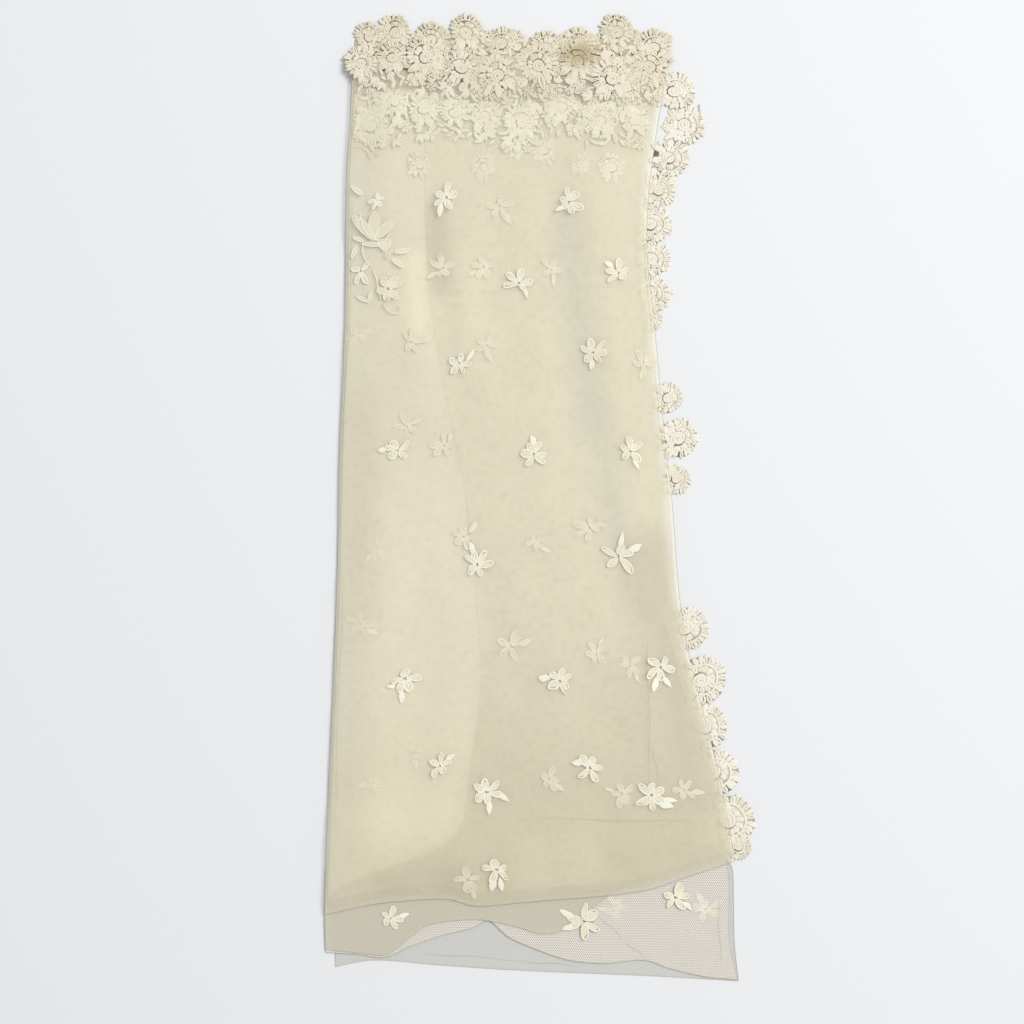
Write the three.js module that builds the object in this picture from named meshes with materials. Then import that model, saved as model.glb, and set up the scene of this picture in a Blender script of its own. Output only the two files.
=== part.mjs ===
// A bridal veil of cream net with lace borders and flower sprigs, folded into a flat pile.
// Sizes are in millimetres. X runs to the right, Y toward the lace ends, Z up from the table.
import * as THREE from 'three';

// Thicknesses of the walls, and the spaces between them
const NET_WALL = 1.0;
const LACE_WALL = 1.0;
const SEAM_GAP = 0.3;
const LAYER_GAP = 1.0;
const SEWN_LIFT = 0.6;

// Heights of the pile
const MIDDLE_UNDERSIDE = NET_WALL + SEAM_GAP;
const CORE_UNDERSIDE = 2.6;
const PILE_EDGE_HEIGHT = 2.5;
const PILE_HEIGHT = 7.5;
const PILE_ROUNDING = 44;
const PILE_REACH = 16;

// How far each layer stands inside the pile's outline
const CORE_INSET = { left: 3, right: 13, top: 6, bottom: 13 };
const INNER_INSET = { right: 4, bottom: 6 };
const BASE_LEFT_INSET = 9;
const CORE_RIDGES = 3;
const CORE_RIDGE_DEPTH = 1.2;

// Where the lace ends and the net's own upper edges lie
const NET_TOP_END = 408;
const NET_INNER_END = 430;
const NET_LOWER_END = 424;
const FRONT_LACE_INNER = 386;
const BACK_LACE_INNER = 416;
const UNDER_LACE_INNER = 312;
const UNDER_LACE_OUTER = 386;
const UNDER_LACE_START = 235;
const UNDER_LACE_INSET = { left: 6, right: 16 };
const FRONT_LACE_BAND = 430;
const BACK_LACE_BAND = 456;
const SIDE_BAND = 24;

// Ends of the three stretches of side border
const SIDE_UPPER_END = 420;
const SIDE_MIDDLE_END = 140;
const SIDE_LOWER_END = -60;
const SIDE_TAIL_END = -366;

// Lengths over which one layer settles from the next
const PILE_END_FALL = 40;
const INNER_SIDE_RISE = { start: -64, end: -24 };
const INNER_LOWER_RISE = { start: -338, end: -292 };
const INNER_END_FALL = { start: 2, end: 40 };
const UNDER_LACE_RISE = 46;
const TOP_END_FALL = { start: 12, end: 52 };
const FOLD_END_STRETCH = 0.5;

// Left edge of the pile, top to bottom
const LEFT_EDGE = [
  { y: 450, x: -190 },
  { y: 409, x: -189 },
  { y: 316, x: -194 },
  { y: 166, x: -196 },
  { y: 46, x: -201 },
  { y: -64, x: -203 },
  { y: -204, x: -208 },
  { y: -294, x: -212 },
  { y: -419, x: -216 },
  { y: -457, x: -215 },
];

// Right edge of the top layer
const RIGHT_EDGE = [
  { y: 436, x: 127 },
  { y: 316, x: 109 },
  { y: 246, x: 106 },
  { y: 166, x: 114 },
  { y: 56, x: 124 },
  { y: -4, x: 131 },
  { y: -104, x: 139 },
  { y: -164, x: 149 },
  { y: -204, x: 159 },
  { y: -284, x: 179 },
  { y: -364, x: 194 },
];

// Lower fold of the top layer
const TOP_FOLD = [
  { x: -217, y: -419 },
  { x: -166, y: -408 },
  { x: -95, y: -403 },
  { x: -64, y: -410 },
  { x: -14, y: -406 },
  { x: 100, y: -395 },
  { x: 155, y: -378 },
  { x: 195, y: -365 },
];

// Left fold of the inner layer, which shows through the top one
const INNER_FOLD = [
  { y: 434, x: -116 },
  { y: 231, x: -113 },
  { y: 120, x: -98 },
  { y: 0, x: -75 },
  { y: -144, x: -61 },
  { y: -200, x: -60 },
  { y: -270, x: -70 },
  { y: -330, x: -80 },
  { y: -351, x: -102 },
  { y: -370, x: -149 },
  { y: -394, x: -206 },
  { y: -420, x: -212 },
];

// Wavy lower edge of the middle layer
const MIDDLE_FOLD = [
  { x: -215, y: -457 },
  { x: -184, y: -459 },
  { x: -156, y: -462 },
  { x: -133, y: -452 },
  { x: -101, y: -441 },
  { x: -66, y: -432 },
  { x: -51, y: -425 },
  { x: -32, y: -441 },
  { x: -9, y: -452 },
  { x: 24, y: -464 },
  { x: 60, y: -468 },
  { x: 103, y: -465 },
  { x: 125, y: -473 },
  { x: 157, y: -481 },
  { x: 197, y: -485 },
];

// Right edge of the middle layer: the seam of the side border
const SIDE_SEAM = [
  { y: 430, x: 110 },
  { y: 310, x: 94 },
  { y: 178, x: 92 },
  { y: 141, x: 82 },
  { y: 100, x: 104 },
  { y: 56, x: 112 },
  { y: 16, x: 108 },
  { y: -44, x: 94 },
  { y: -102, x: 104 },
  { y: -132, x: 126 },
  { y: -184, x: 138 },
  { y: -271, x: 158 },
  { y: -322, x: 174 },
  { y: -372, x: 187 },
  { y: -451, x: 189 },
  { y: -485, x: 197 },
];

// Right edge of the base layer, inside the seam until it shows at the lower right
const BASE_EDGE = [
  { y: 430, x: 92 },
  { y: 178, x: 76 },
  { y: 141, x: 68 },
  { y: 56, x: 94 },
  { y: -44, x: 78 },
  { y: -184, x: 122 },
  { y: -322, x: 158 },
  { y: -362, x: 178 },
  { y: -384, x: 194 },
  { y: -448, x: 193 },
  { y: -486, x: 198 },
];

// Lower fold of the base layer
const BASE_FOLD = [
  { x: -207, y: -472 },
  { x: -169, y: -465 },
  { x: -101, y: -470 },
  { x: -25, y: -475 },
  { x: 114, y: -481 },
  { x: 198, y: -486 },
];

// Largest soft folds of the pile, as ridges (rise above 0) and troughs (rise below 0)
const FOLDS = [
  { fromX: -124, fromY: 250, toX: -116, toY: 150, halfWidth: 22, rise: 1.4 },
  { fromX: -72, fromY: 256, toX: -64, toY: 130, halfWidth: 22, rise: 1.4 },
  { fromX: 20, fromY: 270, toX: 52, toY: 70, halfWidth: 26, rise: -1.6 },
  { fromX: 52, fromY: 70, toX: 100, toY: -110, halfWidth: 30, rise: -1.4 },
  { fromX: -20, fromY: 60, toX: 20, toY: -300, halfWidth: 46, rise: 1.4 },
  { fromX: -150, fromY: 90, toX: -165, toY: -290, halfWidth: 40, rise: 1.2 },
  { fromX: 106, fromY: -140, toX: 112, toY: -290, halfWidth: 26, rise: 1.6 },
];

// Rosettes along the lace borders: centre and outer radius
const FRONT_ROSETTES = [
  { x: -180, y: 434, r: 17 },
  { x: -149, y: 440, r: 16 },
  { x: -116, y: 441, r: 20 },
  { x: -81, y: 428, r: 17 },
  { x: -44, y: 422, r: 20 },
  { x: -3, y: 432, r: 21 },
  { x: 37, y: 436, r: 19 },
  { x: 70, y: 418, r: 21 },
  { x: 108, y: 430, r: 19 },
];
const BACK_ROSETTES = [
  { x: -173, y: 462, r: 15 },
  { x: -147, y: 466, r: 18 },
  { x: -110, y: 458, r: 18 },
  { x: -75, y: 466, r: 18 },
  { x: -39, y: 454, r: 18 },
  { x: 5, y: 450, r: 18 },
  { x: 37, y: 453, r: 18 },
  { x: 75, y: 466, r: 18 },
  { x: 113, y: 450, r: 19 },
];
const UPPER_SIDE_ROSETTES = [
  { x: 136, y: 406, r: 20 },
  { x: 146, y: 372, r: 20 },
  { x: 130, y: 338, r: 19 },
  { x: 119, y: 306, r: 17 },
  { x: 112, y: 272, r: 18 },
  { x: 113, y: 238, r: 18 },
  { x: 112, y: 204, r: 18 },
  { x: 108, y: 178, r: 15 },
];
const MIDDLE_SIDE_ROSETTES = [
  { x: 128, y: 98, r: 15 },
  { x: 139, y: 58, r: 20 },
  { x: 136, y: 16, r: 15 },
];
const LOWER_SIDE_ROSETTES = [
  { x: 147, y: -133, r: 22 },
  { x: 162, y: -184, r: 25 },
  { x: 166, y: -232, r: 21 },
  { x: 176, y: -276, r: 22 },
  { x: 190, y: -324, r: 25 },
  { x: 199, y: -352, r: 13 },
];

// Corner spray: a chain of lace flowers and leaves
const SPRAY = [
  { x: -187, y: 308, halfWidth: 3 },
  { x: -163, y: 291, halfWidth: 9 },
  { x: -170, y: 270, halfWidth: 12 },
  { x: -174, y: 250, halfWidth: 8 },
  { x: -178, y: 222, halfWidth: 13 },
  { x: -152, y: 206, halfWidth: 13 },
  { x: -137, y: 184, halfWidth: 4 },
];
const SPRAY_HALF_WIDTH = { least: 2, most: 14 };
const SPRAY_STEPS = 4;
const ABOVE_PILE = 100;

// Flower sprigs: centre, width across, turn of the first petal, petals, and the leaf's direction
const SPRIGS = [
  { x: -95, y: 298, across: 27, turn: 10, petals: 5, leaf: 250, on: 'net_top' },
  { x: 30, y: 294, across: 27, turn: 40, petals: 6, leaf: 215, on: 'net_top' },
  { x: -22, y: 214, across: 28, turn: 0, petals: 5, leaf: 300, on: 'net_top' },
  { x: 77, y: 224, across: 24, turn: 20, petals: 5, leaf: 140, on: 'net_top' },
  { x: 53, y: 145, across: 29, turn: 50, petals: 6, leaf: 250, on: 'net_top' },
  { x: -82, y: 132, across: 28, turn: 15, petals: 5, leaf: 40, on: 'net_top' },
  { x: -144, y: 46, across: 27, turn: 30, petals: 5, leaf: 180, on: 'net_top' },
  { x: -6, y: 42, across: 27, turn: 5, petals: 6, leaf: 100, on: 'net_top' },
  { x: 90, y: 46, across: 29, turn: 25, petals: 5, leaf: 290, on: 'net_top' },
  { x: -63, y: -66, across: 29, turn: 45, petals: 6, leaf: 110, on: 'net_top' },
  { x: 78, y: -61, across: 34, turn: 12, petals: 5, leaf: 35, on: 'net_top' },
  { x: -135, y: -184, across: 30, turn: 20, petals: 5, leaf: 200, on: 'net_top' },
  { x: 19, y: -184, across: 30, turn: 35, petals: 6, leaf: 180, on: 'net_top' },
  { x: 118, y: -173, across: 29, turn: 0, petals: 5, leaf: 262, on: 'net_top' },
  { x: -102, y: -268, across: 26, turn: 15, petals: 5, leaf: 30, on: 'net_top' },
  { x: -54, y: -295, across: 30, turn: 40, petals: 6, leaf: 330, on: 'net_top' },
  { x: 49, y: -272, across: 29, turn: 5, petals: 5, leaf: 160, on: 'net_top' },
  { x: 111, y: -298, across: 33, turn: 28, petals: 6, leaf: 315, on: 'net_top' },
  { x: -45, y: -374, across: 29, turn: 18, petals: 5, leaf: 250, on: 'net_top' },
  { x: -150, y: -424, across: 26, turn: 8, petals: 5, leaf: 20, on: 'net_middle' },
  { x: 43, y: -426, across: 34, turn: 32, petals: 6, leaf: 205, on: 'net_middle' },
  { x: 135, y: -402, across: 28, turn: 12, petals: 5, leaf: 320, on: 'net_middle' },
];
const SPRIG_POINTS = 18;
const PETAL_NOTCH = 0.3;
const LEAF_REACH = 0.86;
const LEAF_SPREAD = 0.36;

// Cloth colours
const NET_COLOR = 0xe3dcc0;
const LACE_COLOR = 0xece6d6;

const { clamp, lerp, smoothstep, degToRad } = THREE.MathUtils;

// A smooth curve through the rows of a table, read at a value of one column
function curveThrough(rows, at, value) {
  const ordered = [...rows].sort((a, b) => a[at] - b[at]);
  const curve = new THREE.CubicInterpolant(
    ordered.map((row) => row[at]),
    ordered.map((row) => row[value]),
    1,
  );
  return (position) => curve.evaluate(position)[0];
}

const leftEdge = curveThrough(LEFT_EDGE, 'y', 'x');
const rightEdge = curveThrough(RIGHT_EDGE, 'y', 'x');
const topFold = curveThrough(TOP_FOLD, 'x', 'y');
const innerFold = curveThrough(INNER_FOLD, 'y', 'x');
const middleFold = curveThrough(MIDDLE_FOLD, 'x', 'y');
const baseFold = curveThrough(BASE_FOLD, 'x', 'y');
const baseEdge = curveThrough(BASE_EDGE, 'y', 'x');
const sideSeam = curveThrough(SIDE_SEAM, 'y', 'x');

// Depth of a point inside the core's outline, below 0 outside it
function depthInside(x, y) {
  return Math.min(
    x - leftEdge(y) - CORE_INSET.left,
    rightEdge(y) - CORE_INSET.right - x,
    NET_INNER_END - CORE_INSET.top - y,
    y - topFold(x) - CORE_INSET.bottom,
  );
}

// Height that the soft folds add at a point
function foldHeight(x, y) {
  let height = 0;
  for (const fold of FOLDS) {
    const alongX = fold.toX - fold.fromX;
    const alongY = fold.toY - fold.fromY;
    const length = Math.hypot(alongX, alongY);
    const along = ((x - fold.fromX) * alongX + (y - fold.fromY) * alongY) / length;
    const across = ((x - fold.fromX) * alongY - (y - fold.fromY) * alongX) / length;
    const past = Math.max(0, -along, along - length);
    const distance = Math.hypot(across, past * FOLD_END_STRETCH) / fold.halfWidth;
    height += fold.rise * Math.exp(-distance * distance);
  }
  return height;
}

// Top of the hidden layers, carried on past their outline so that what lies on them drapes off
function pileTop(x, y) {
  const depth = depthInside(x, y);
  const full = smoothstep(depth, -PILE_REACH, PILE_ROUNDING);
  const low = PILE_EDGE_HEIGHT * (1 - smoothstep(y, NET_LOWER_END, NET_LOWER_END + PILE_END_FALL));
  return lerp(low, PILE_HEIGHT, full) + foldHeight(x, y) * full;
}

// How far the inner layer lifts what lies on it, from 0 to 1: none past its own upper end
function innerLift(x, y) {
  const fromSide = smoothstep(x - innerFold(y), INNER_SIDE_RISE.start, INNER_SIDE_RISE.end);
  const fromBelow = 1 - smoothstep(y, INNER_LOWER_RISE.start, INNER_LOWER_RISE.end);
  const pastEnd = y - NET_INNER_END;
  const beforeEnd = 1 - smoothstep(pastEnd, INNER_END_FALL.start, INNER_END_FALL.end);
  return Math.max(fromSide, fromBelow) * beforeEnd;
}

// How far the lace beneath lifts the top layer, from 0 to 1: none past the top layer's upper end
function underLaceLift(y) {
  const overLace = smoothstep(y, UNDER_LACE_START, UNDER_LACE_START + UNDER_LACE_RISE);
  const pastEnd = y - NET_TOP_END;
  return overLace * (1 - smoothstep(pastEnd, TOP_END_FALL.start, TOP_END_FALL.end));
}

// Undersides of the layers that drape over the pile
function innerUnderside(x, y) {
  return pileTop(x, y) + LAYER_GAP;
}
function laceUnderside(x, y) {
  return innerUnderside(x, y) + innerLift(x, y) * (NET_WALL + LAYER_GAP);
}
function topUnderside(x, y) {
  return laceUnderside(x, y) + underLaceLift(y) * (LACE_WALL + LAYER_GAP);
}
function frontLaceUnderside(x, y) {
  return topUnderside(x, y) + NET_WALL + LAYER_GAP;
}

// Outer edge of a lace border: the outermost arc of its rosettes, or its plain band between them
function scallops(rosettes, along, out, band) {
  return (position) => {
    let reach = band(position);
    for (const rosette of rosettes) {
      const offset = position - rosette[along];
      const halfChord = Math.sqrt(Math.max(0, rosette.r ** 2 - offset ** 2));
      if (halfChord > 0) {
        reach = Math.max(reach, rosette[out] + halfChord);
      }
    }
    return reach;
  };
}

function clothMesh(name, color, geometry) {
  const material = new THREE.MeshStandardMaterial({ color, roughness: 0.9, metalness: 0 });
  const mesh = new THREE.Mesh(geometry, material);
  mesh.name = name;
  return mesh;
}

function meshOf(name, color, positions, triangles) {
  const geometry = new THREE.BufferGeometry();
  geometry.setAttribute('position', new THREE.Float32BufferAttribute(positions.flat(), 3));
  geometry.setIndex(triangles.flat());
  geometry.computeVertexNormals();
  return clothMesh(name, color, geometry);
}

// Points of a panel, row by row from its upper edge, between four edge curves
function panelPoints({ left, right, upper, lower, columns, rows }) {
  const points = [];
  for (let row = 0; row <= rows; row += 1) {
    for (let column = 0; column <= columns; column += 1) {
      const down = row / rows;
      const over = column / columns;
      const nominalY = lerp(upper(0), lower(0), down);
      const nominalX = lerp(left(nominalY), right(nominalY), over);
      const y = lerp(upper(nominalX), lower(nominalX), down);
      points.push({ x: lerp(left(y), right(y), over), y });
    }
  }
  return points;
}

// Outline of a panel's grid, anticlockwise from its upper left corner
function panelOutline({ columns, rows }) {
  const at = (row, column) => row * (columns + 1) + column;
  const outline = [];
  for (let row = 0; row < rows; row += 1) {
    outline.push(at(row, 0));
  }
  for (let column = 0; column < columns; column += 1) {
    outline.push(at(rows, column));
  }
  for (let row = rows; row > 0; row -= 1) {
    outline.push(at(row, columns));
  }
  for (let column = columns; column > 0; column -= 1) {
    outline.push(at(0, column));
  }
  return outline;
}

// A flat wall of the panel's outline, lying at one height
function flatPanel(name, color, wall, height, shape) {
  const points = panelPoints(shape);
  const corners = panelOutline(shape).map((index) => new THREE.Vector2(points[index].x, points[index].y));
  const geometry = new THREE.ExtrudeGeometry(new THREE.Shape(corners), {
    depth: wall,
    bevelEnabled: false,
  });
  geometry.translate(0, 0, height);
  return clothMesh(name, color, geometry);
}

// Two triangles for each cell of a grid, facing up
function gridTriangles({ columns, rows }) {
  const triangles = [];
  for (let row = 0; row < rows; row += 1) {
    for (let column = 0; column < columns; column += 1) {
      const a = row * (columns + 1) + column;
      const b = a + columns + 1;
      triangles.push([a, b, b + 1], [a, b + 1, a + 1]);
    }
  }
  return triangles;
}

// Two triangles for each step round a pair of rings, facing out
function ringTriangles(upperRing, lowerRing) {
  const triangles = [];
  upperRing.forEach((p, place) => {
    const next = (place + 1) % upperRing.length;
    triangles.push([p, lowerRing[place], lowerRing[next]], [p, lowerRing[next], upperRing[next]]);
  });
  return triangles;
}

const turnedOver = ([a, b, c]) => [a, c, b];

// A wall of even thickness that drapes along an underside
function drapedPanel(name, color, wall, shape) {
  const points = panelPoints(shape);
  const undersides = points.map(({ x, y }) => [x, y, shape.underside(x, y)]);
  const uppersides = undersides.map(([x, y, z]) => [x, y, z + wall]);
  const up = gridTriangles(shape);
  const down = up.map(turnedOver).map((corners) => corners.map((index) => index + points.length));
  const outline = panelOutline(shape);
  const rim = ringTriangles(outline, outline.map((index) => index + points.length));
  return meshOf(name, color, [...uppersides, ...undersides], [...up, ...down, ...rim]);
}

// A rounded solid on a flat underside, with the edges of its layers as ridges round its rim
function layeredSolid(name, color, shape) {
  const points = panelPoints(shape);
  const positions = points.map(({ x, y }) => [x, y, shape.upperside(x, y)]);
  const outline = panelOutline(shape);
  const rings = [outline];
  const steps = shape.ridges * 2;
  for (let step = 1; step <= steps; step += 1) {
    const bulge = step % 2 === 1 ? shape.ridgeDepth : 0;
    const ring = outline.map((index, place) => {
      const before = points[outline[(place + outline.length - 1) % outline.length]];
      const after = points[outline[(place + 1) % outline.length]];
      const run = Math.hypot(after.x - before.x, after.y - before.y);
      const [x, y, top] = positions[index];
      positions.push([
        x + (bulge * (after.y - before.y)) / run,
        y - (bulge * (after.x - before.x)) / run,
        lerp(top, shape.underside, step / steps),
      ]);
      return positions.length - 1;
    });
    rings.push(ring);
  }
  const triangles = gridTriangles(shape);
  for (let step = 0; step < steps; step += 1) {
    triangles.push(...ringTriangles(rings[step], rings[step + 1]));
  }
  const lowest = rings[steps];
  const corners = lowest.map((index) => new THREE.Vector2(positions[index][0], positions[index][1]));
  for (const face of THREE.ShapeUtils.triangulateShape(corners, [])) {
    triangles.push(turnedOver(face.map((place) => lowest[place])));
  }
  return meshOf(name, color, positions, triangles);
}

const level = (height) => () => height;

const netBase = flatPanel('net_base', NET_COLOR, NET_WALL, 0, {
  left: (y) => leftEdge(y) + BASE_LEFT_INSET,
  right: baseEdge,
  upper: level(NET_LOWER_END),
  lower: baseFold,
  columns: 16,
  rows: 30,
});

const netMiddle = flatPanel('net_middle', NET_COLOR, NET_WALL, MIDDLE_UNDERSIDE, {
  left: leftEdge,
  right: sideSeam,
  upper: level(NET_LOWER_END),
  lower: middleFold,
  columns: 36,
  rows: 40,
});

const netCore = layeredSolid('net_core', NET_COLOR, {
  left: (y) => leftEdge(y) + CORE_INSET.left,
  right: (y) => rightEdge(y) - CORE_INSET.right,
  upper: level(NET_INNER_END - CORE_INSET.top),
  lower: (x) => topFold(x) + CORE_INSET.bottom,
  columns: 12,
  rows: 22,
  underside: CORE_UNDERSIDE,
  upperside: pileTop,
  ridges: CORE_RIDGES,
  ridgeDepth: CORE_RIDGE_DEPTH,
});

const netInner = drapedPanel('net_inner', NET_COLOR, NET_WALL, {
  left: innerFold,
  right: (y) => rightEdge(y) - INNER_INSET.right,
  upper: level(NET_INNER_END),
  lower: (x) => topFold(x) + INNER_INSET.bottom,
  columns: 8,
  rows: 32,
  underside: innerUnderside,
});

const netTop = drapedPanel('net_top', NET_COLOR, NET_WALL, {
  left: leftEdge,
  right: rightEdge,
  upper: level(NET_TOP_END),
  lower: topFold,
  columns: 17,
  rows: 32,
  underside: topUnderside,
});

// A border across the top, from the left edge to the right
function topBorder(name, rosettes, inner, band, underside) {
  return drapedPanel(name, LACE_COLOR, LACE_WALL, {
    left: level(rosettes[0].x - rosettes[0].r),
    right: level(rosettes.at(-1).x + rosettes.at(-1).r),
    upper: scallops(rosettes, 'x', 'y', level(band)),
    lower: level(inner),
    columns: 42,
    rows: 2,
    underside,
  });
}

const borderTopFront = topBorder(
  'border_top_front', FRONT_ROSETTES, FRONT_LACE_INNER, FRONT_LACE_BAND, frontLaceUnderside,
);
const borderTopBack = topBorder(
  'border_top_back', BACK_ROSETTES, BACK_LACE_INNER, BACK_LACE_BAND, laceUnderside,
);
const borderUnder = drapedPanel('border_under', LACE_COLOR, LACE_WALL, {
  left: (y) => leftEdge(y) + UNDER_LACE_INSET.left,
  right: (y) => rightEdge(y) - UNDER_LACE_INSET.right,
  upper: level(UNDER_LACE_OUTER),
  lower: level(UNDER_LACE_INNER),
  columns: 20,
  rows: 4,
  underside: laceUnderside,
});

// A stretch of the side border, flat on the table from its seam out to its scallops
function sideBorder(name, rosettes, upperEnd, lowerEnd, rows) {
  const seam = (y) => sideSeam(y) + SEAM_GAP;
  return flatPanel(name, LACE_COLOR, LACE_WALL, 0, {
    left: seam,
    right: scallops(rosettes, 'y', 'x', (y) => seam(y) + SIDE_BAND),
    upper: level(upperEnd),
    lower: level(lowerEnd),
    columns: 2,
    rows,
  });
}

const borderSideUpper = sideBorder(
  'border_side_upper', UPPER_SIDE_ROSETTES, SIDE_UPPER_END, SIDE_MIDDLE_END, 32,
);
const borderSideMiddle = sideBorder(
  'border_side_middle', MIDDLE_SIDE_ROSETTES, SIDE_MIDDLE_END - SEAM_GAP, SIDE_LOWER_END, 22,
);
const borderSideLower = sideBorder(
  'border_side_lower', LOWER_SIDE_ROSETTES, SIDE_LOWER_END - SEAM_GAP, SIDE_TAIL_END, 36,
);

// Height of a panel's upper side under a point, or of its height at a nearby point if it has none there
const raycaster = new THREE.Raycaster();
function heightOn(carrier, x, y, nearX, nearY) {
  const down = new THREE.Vector3(0, 0, -1);
  for (const [atX, atY] of [[x, y], [nearX, nearY]]) {
    raycaster.set(new THREE.Vector3(atX, atY, ABOVE_PILE), down);
    const [hit] = raycaster.intersectObject(carrier);
    if (hit) {
      return hit.point.z;
    }
  }
  return 0;
}

// Outline of a sprig seen from above: rounded petals and one leaf
function sprigRadius(sprig, angle) {
  const petalTurn = (sprig.petals * (angle - degToRad(sprig.turn))) / 2;
  const flower = (sprig.across / 2) * (1 - PETAL_NOTCH * (1 - Math.abs(Math.cos(petalTurn))));
  const fromLeaf = Math.atan2(
    Math.sin(angle - degToRad(sprig.leaf)),
    Math.cos(angle - degToRad(sprig.leaf)),
  );
  const leaf = sprig.across * LEAF_REACH * (1 - (fromLeaf / LEAF_SPREAD) ** 2);
  return Math.max(flower, leaf);
}

function sprigMesh(sprig, index, carriers) {
  const carrier = carriers[sprig.on];
  const outline = [];
  for (let step = 0; step < SPRIG_POINTS; step += 1) {
    const angle = degToRad(sprig.leaf) + (step * 2 * Math.PI) / SPRIG_POINTS;
    const radius = sprigRadius(sprig, angle);
    outline.push({ x: sprig.x + radius * Math.cos(angle), y: sprig.y + radius * Math.sin(angle) });
  }
  const positions = [];
  for (const wall of [LACE_WALL, 0]) {
    for (const { x, y } of [sprig, ...outline]) {
      const height = heightOn(carrier, x, y, sprig.x, sprig.y);
      positions.push([x, y, height + SEWN_LIFT + wall]);
    }
  }
  const lower = SPRIG_POINTS + 1;
  const triangles = [];
  for (let step = 0; step < SPRIG_POINTS; step += 1) {
    const p = 1 + step;
    const q = 1 + ((step + 1) % SPRIG_POINTS);
    triangles.push([0, p, q], [lower, lower + q, lower + p]);
    triangles.push([p, lower + p, lower + q], [p, lower + q, q]);
  }
  const name = `sprig_${String(index + 1).padStart(2, '0')}`;
  return meshOf(name, LACE_COLOR, positions, triangles);
}

// The corner spray: a ribbon of changing width along its chain of flowers
function sprayMesh(carrier) {
  const path = new THREE.CatmullRomCurve3(SPRAY.map(({ x, y }) => new THREE.Vector3(x, y, 0)));
  const halfWidth = curveThrough(
    SPRAY.map((row, place) => ({ place, halfWidth: row.halfWidth })), 'place', 'halfWidth',
  );
  const steps = (SPRAY.length - 1) * SPRAY_STEPS;
  const positions = [];
  for (const wall of [LACE_WALL, 0]) {
    for (let step = 0; step <= steps; step += 1) {
      const centre = path.getPoint(step / steps);
      const tangent = path.getTangent(step / steps);
      const wide = halfWidth((step / steps) * (SPRAY.length - 1));
      const half = clamp(wide, SPRAY_HALF_WIDTH.least, SPRAY_HALF_WIDTH.most);
      for (const side of [1, -1]) {
        const x = centre.x - side * half * tangent.y;
        const y = centre.y + side * half * tangent.x;
        positions.push([x, y, heightOn(carrier, x, y, centre.x, centre.y) + SEWN_LIFT + wall]);
      }
    }
  }
  const lower = (steps + 1) * 2;
  const triangles = [];
  for (let step = 0; step < steps; step += 1) {
    const a = step * 2;
    const [b, c, d] = [a + 1, a + 2, a + 3];
    const top = [[a, b, d], [a, d, c]];
    const under = top.map(turnedOver).map((corners) => corners.map((index) => index + lower));
    triangles.push(...top, ...under);
    triangles.push([a, c, lower + c], [a, lower + c, lower + a]);
    triangles.push([b, lower + b, lower + d], [b, lower + d, d]);
  }
  const end = steps * 2;
  triangles.push([0, lower, lower + 1], [0, lower + 1, 1]);
  triangles.push([end, end + 1, lower + end + 1], [end, lower + end + 1, lower + end]);
  return meshOf('corner_spray', LACE_COLOR, positions, triangles);
}

const veil = new THREE.Group();
veil.name = 'folded_veil';
veil.add(netBase, netMiddle, netCore, netInner, netTop);
veil.add(borderTopFront, borderTopBack, borderUnder);
veil.add(borderSideUpper, borderSideMiddle, borderSideLower);
veil.add(sprayMesh(netTop));
const carriers = { net_top: netTop, net_middle: netMiddle };
SPRIGS.forEach((sprig, index) => veil.add(sprigMesh(sprig, index, carriers)));

export default veil;
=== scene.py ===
"""A folded bridal veil of cream net with lace borders and sprigs, lying on a pale table.

Sizes in the tables are millimetres in the part's frame: x to the right, y toward the lace ends, z up.
"""
import math

import bpy
import numpy as np
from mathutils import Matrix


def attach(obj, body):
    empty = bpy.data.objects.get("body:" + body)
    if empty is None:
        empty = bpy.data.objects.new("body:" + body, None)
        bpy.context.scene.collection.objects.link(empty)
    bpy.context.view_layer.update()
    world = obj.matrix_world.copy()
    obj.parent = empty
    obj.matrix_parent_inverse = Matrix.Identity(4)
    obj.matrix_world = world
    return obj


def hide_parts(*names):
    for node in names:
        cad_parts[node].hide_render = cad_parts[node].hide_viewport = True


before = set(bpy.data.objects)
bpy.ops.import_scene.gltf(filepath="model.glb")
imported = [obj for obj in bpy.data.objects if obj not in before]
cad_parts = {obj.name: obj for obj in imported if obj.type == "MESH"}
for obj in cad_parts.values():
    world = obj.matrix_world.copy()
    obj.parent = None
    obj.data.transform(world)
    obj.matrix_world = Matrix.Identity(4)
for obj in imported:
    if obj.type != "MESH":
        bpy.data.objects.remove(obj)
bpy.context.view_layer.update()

MM = 0.001


def table(columns, *rows):
    """Rows of values under the names of their columns."""
    return [dict(zip(columns.split(), row)) for row in rows]


# Walls and gaps of the layers, as in the solids
NET_WALL = 1.0
LACE_WALL = 1.0
LAYER_GAP = 1.0
MIDDLE_UNDERSIDE = 1.3
CORE_UNDERSIDE = 2.6
PILE_EDGE_HEIGHT = 2.5
PILE_HEIGHT = 7.5
PILE_ROUNDING = 44
PILE_REACH = 16

# How far each layer stands inside the pile's outline
CORE_INSET = {"left": 3, "right": 13, "top": 6, "bottom": 13}
INNER_INSET = {"right": 4, "bottom": 6}
BASE_LEFT_INSET = 9

# Upper ends of the net layers, and where the lace beneath begins
NET_TOP_END = 408
NET_TOP_REACH = 424
NET_INNER_END = 430
NET_LOWER_END = 424
UNDER_LACE_START = 235

# Threads and strips that show, and how far sewn pieces stand off their layer
NET_THICKNESS = 0.5
EDGE_THREAD = 0.55
RIBBON_STEPS = 24
RIBBON_SWAY = 1.2
RIBBON_LIFT = 0.15
SPRIG_LIFT = 0.15
UNDER_SPRIG_LIFT = -0.9
DEEP_LIFT = -1.9
LOW_SPRIG_LIFT = 0.1

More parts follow.
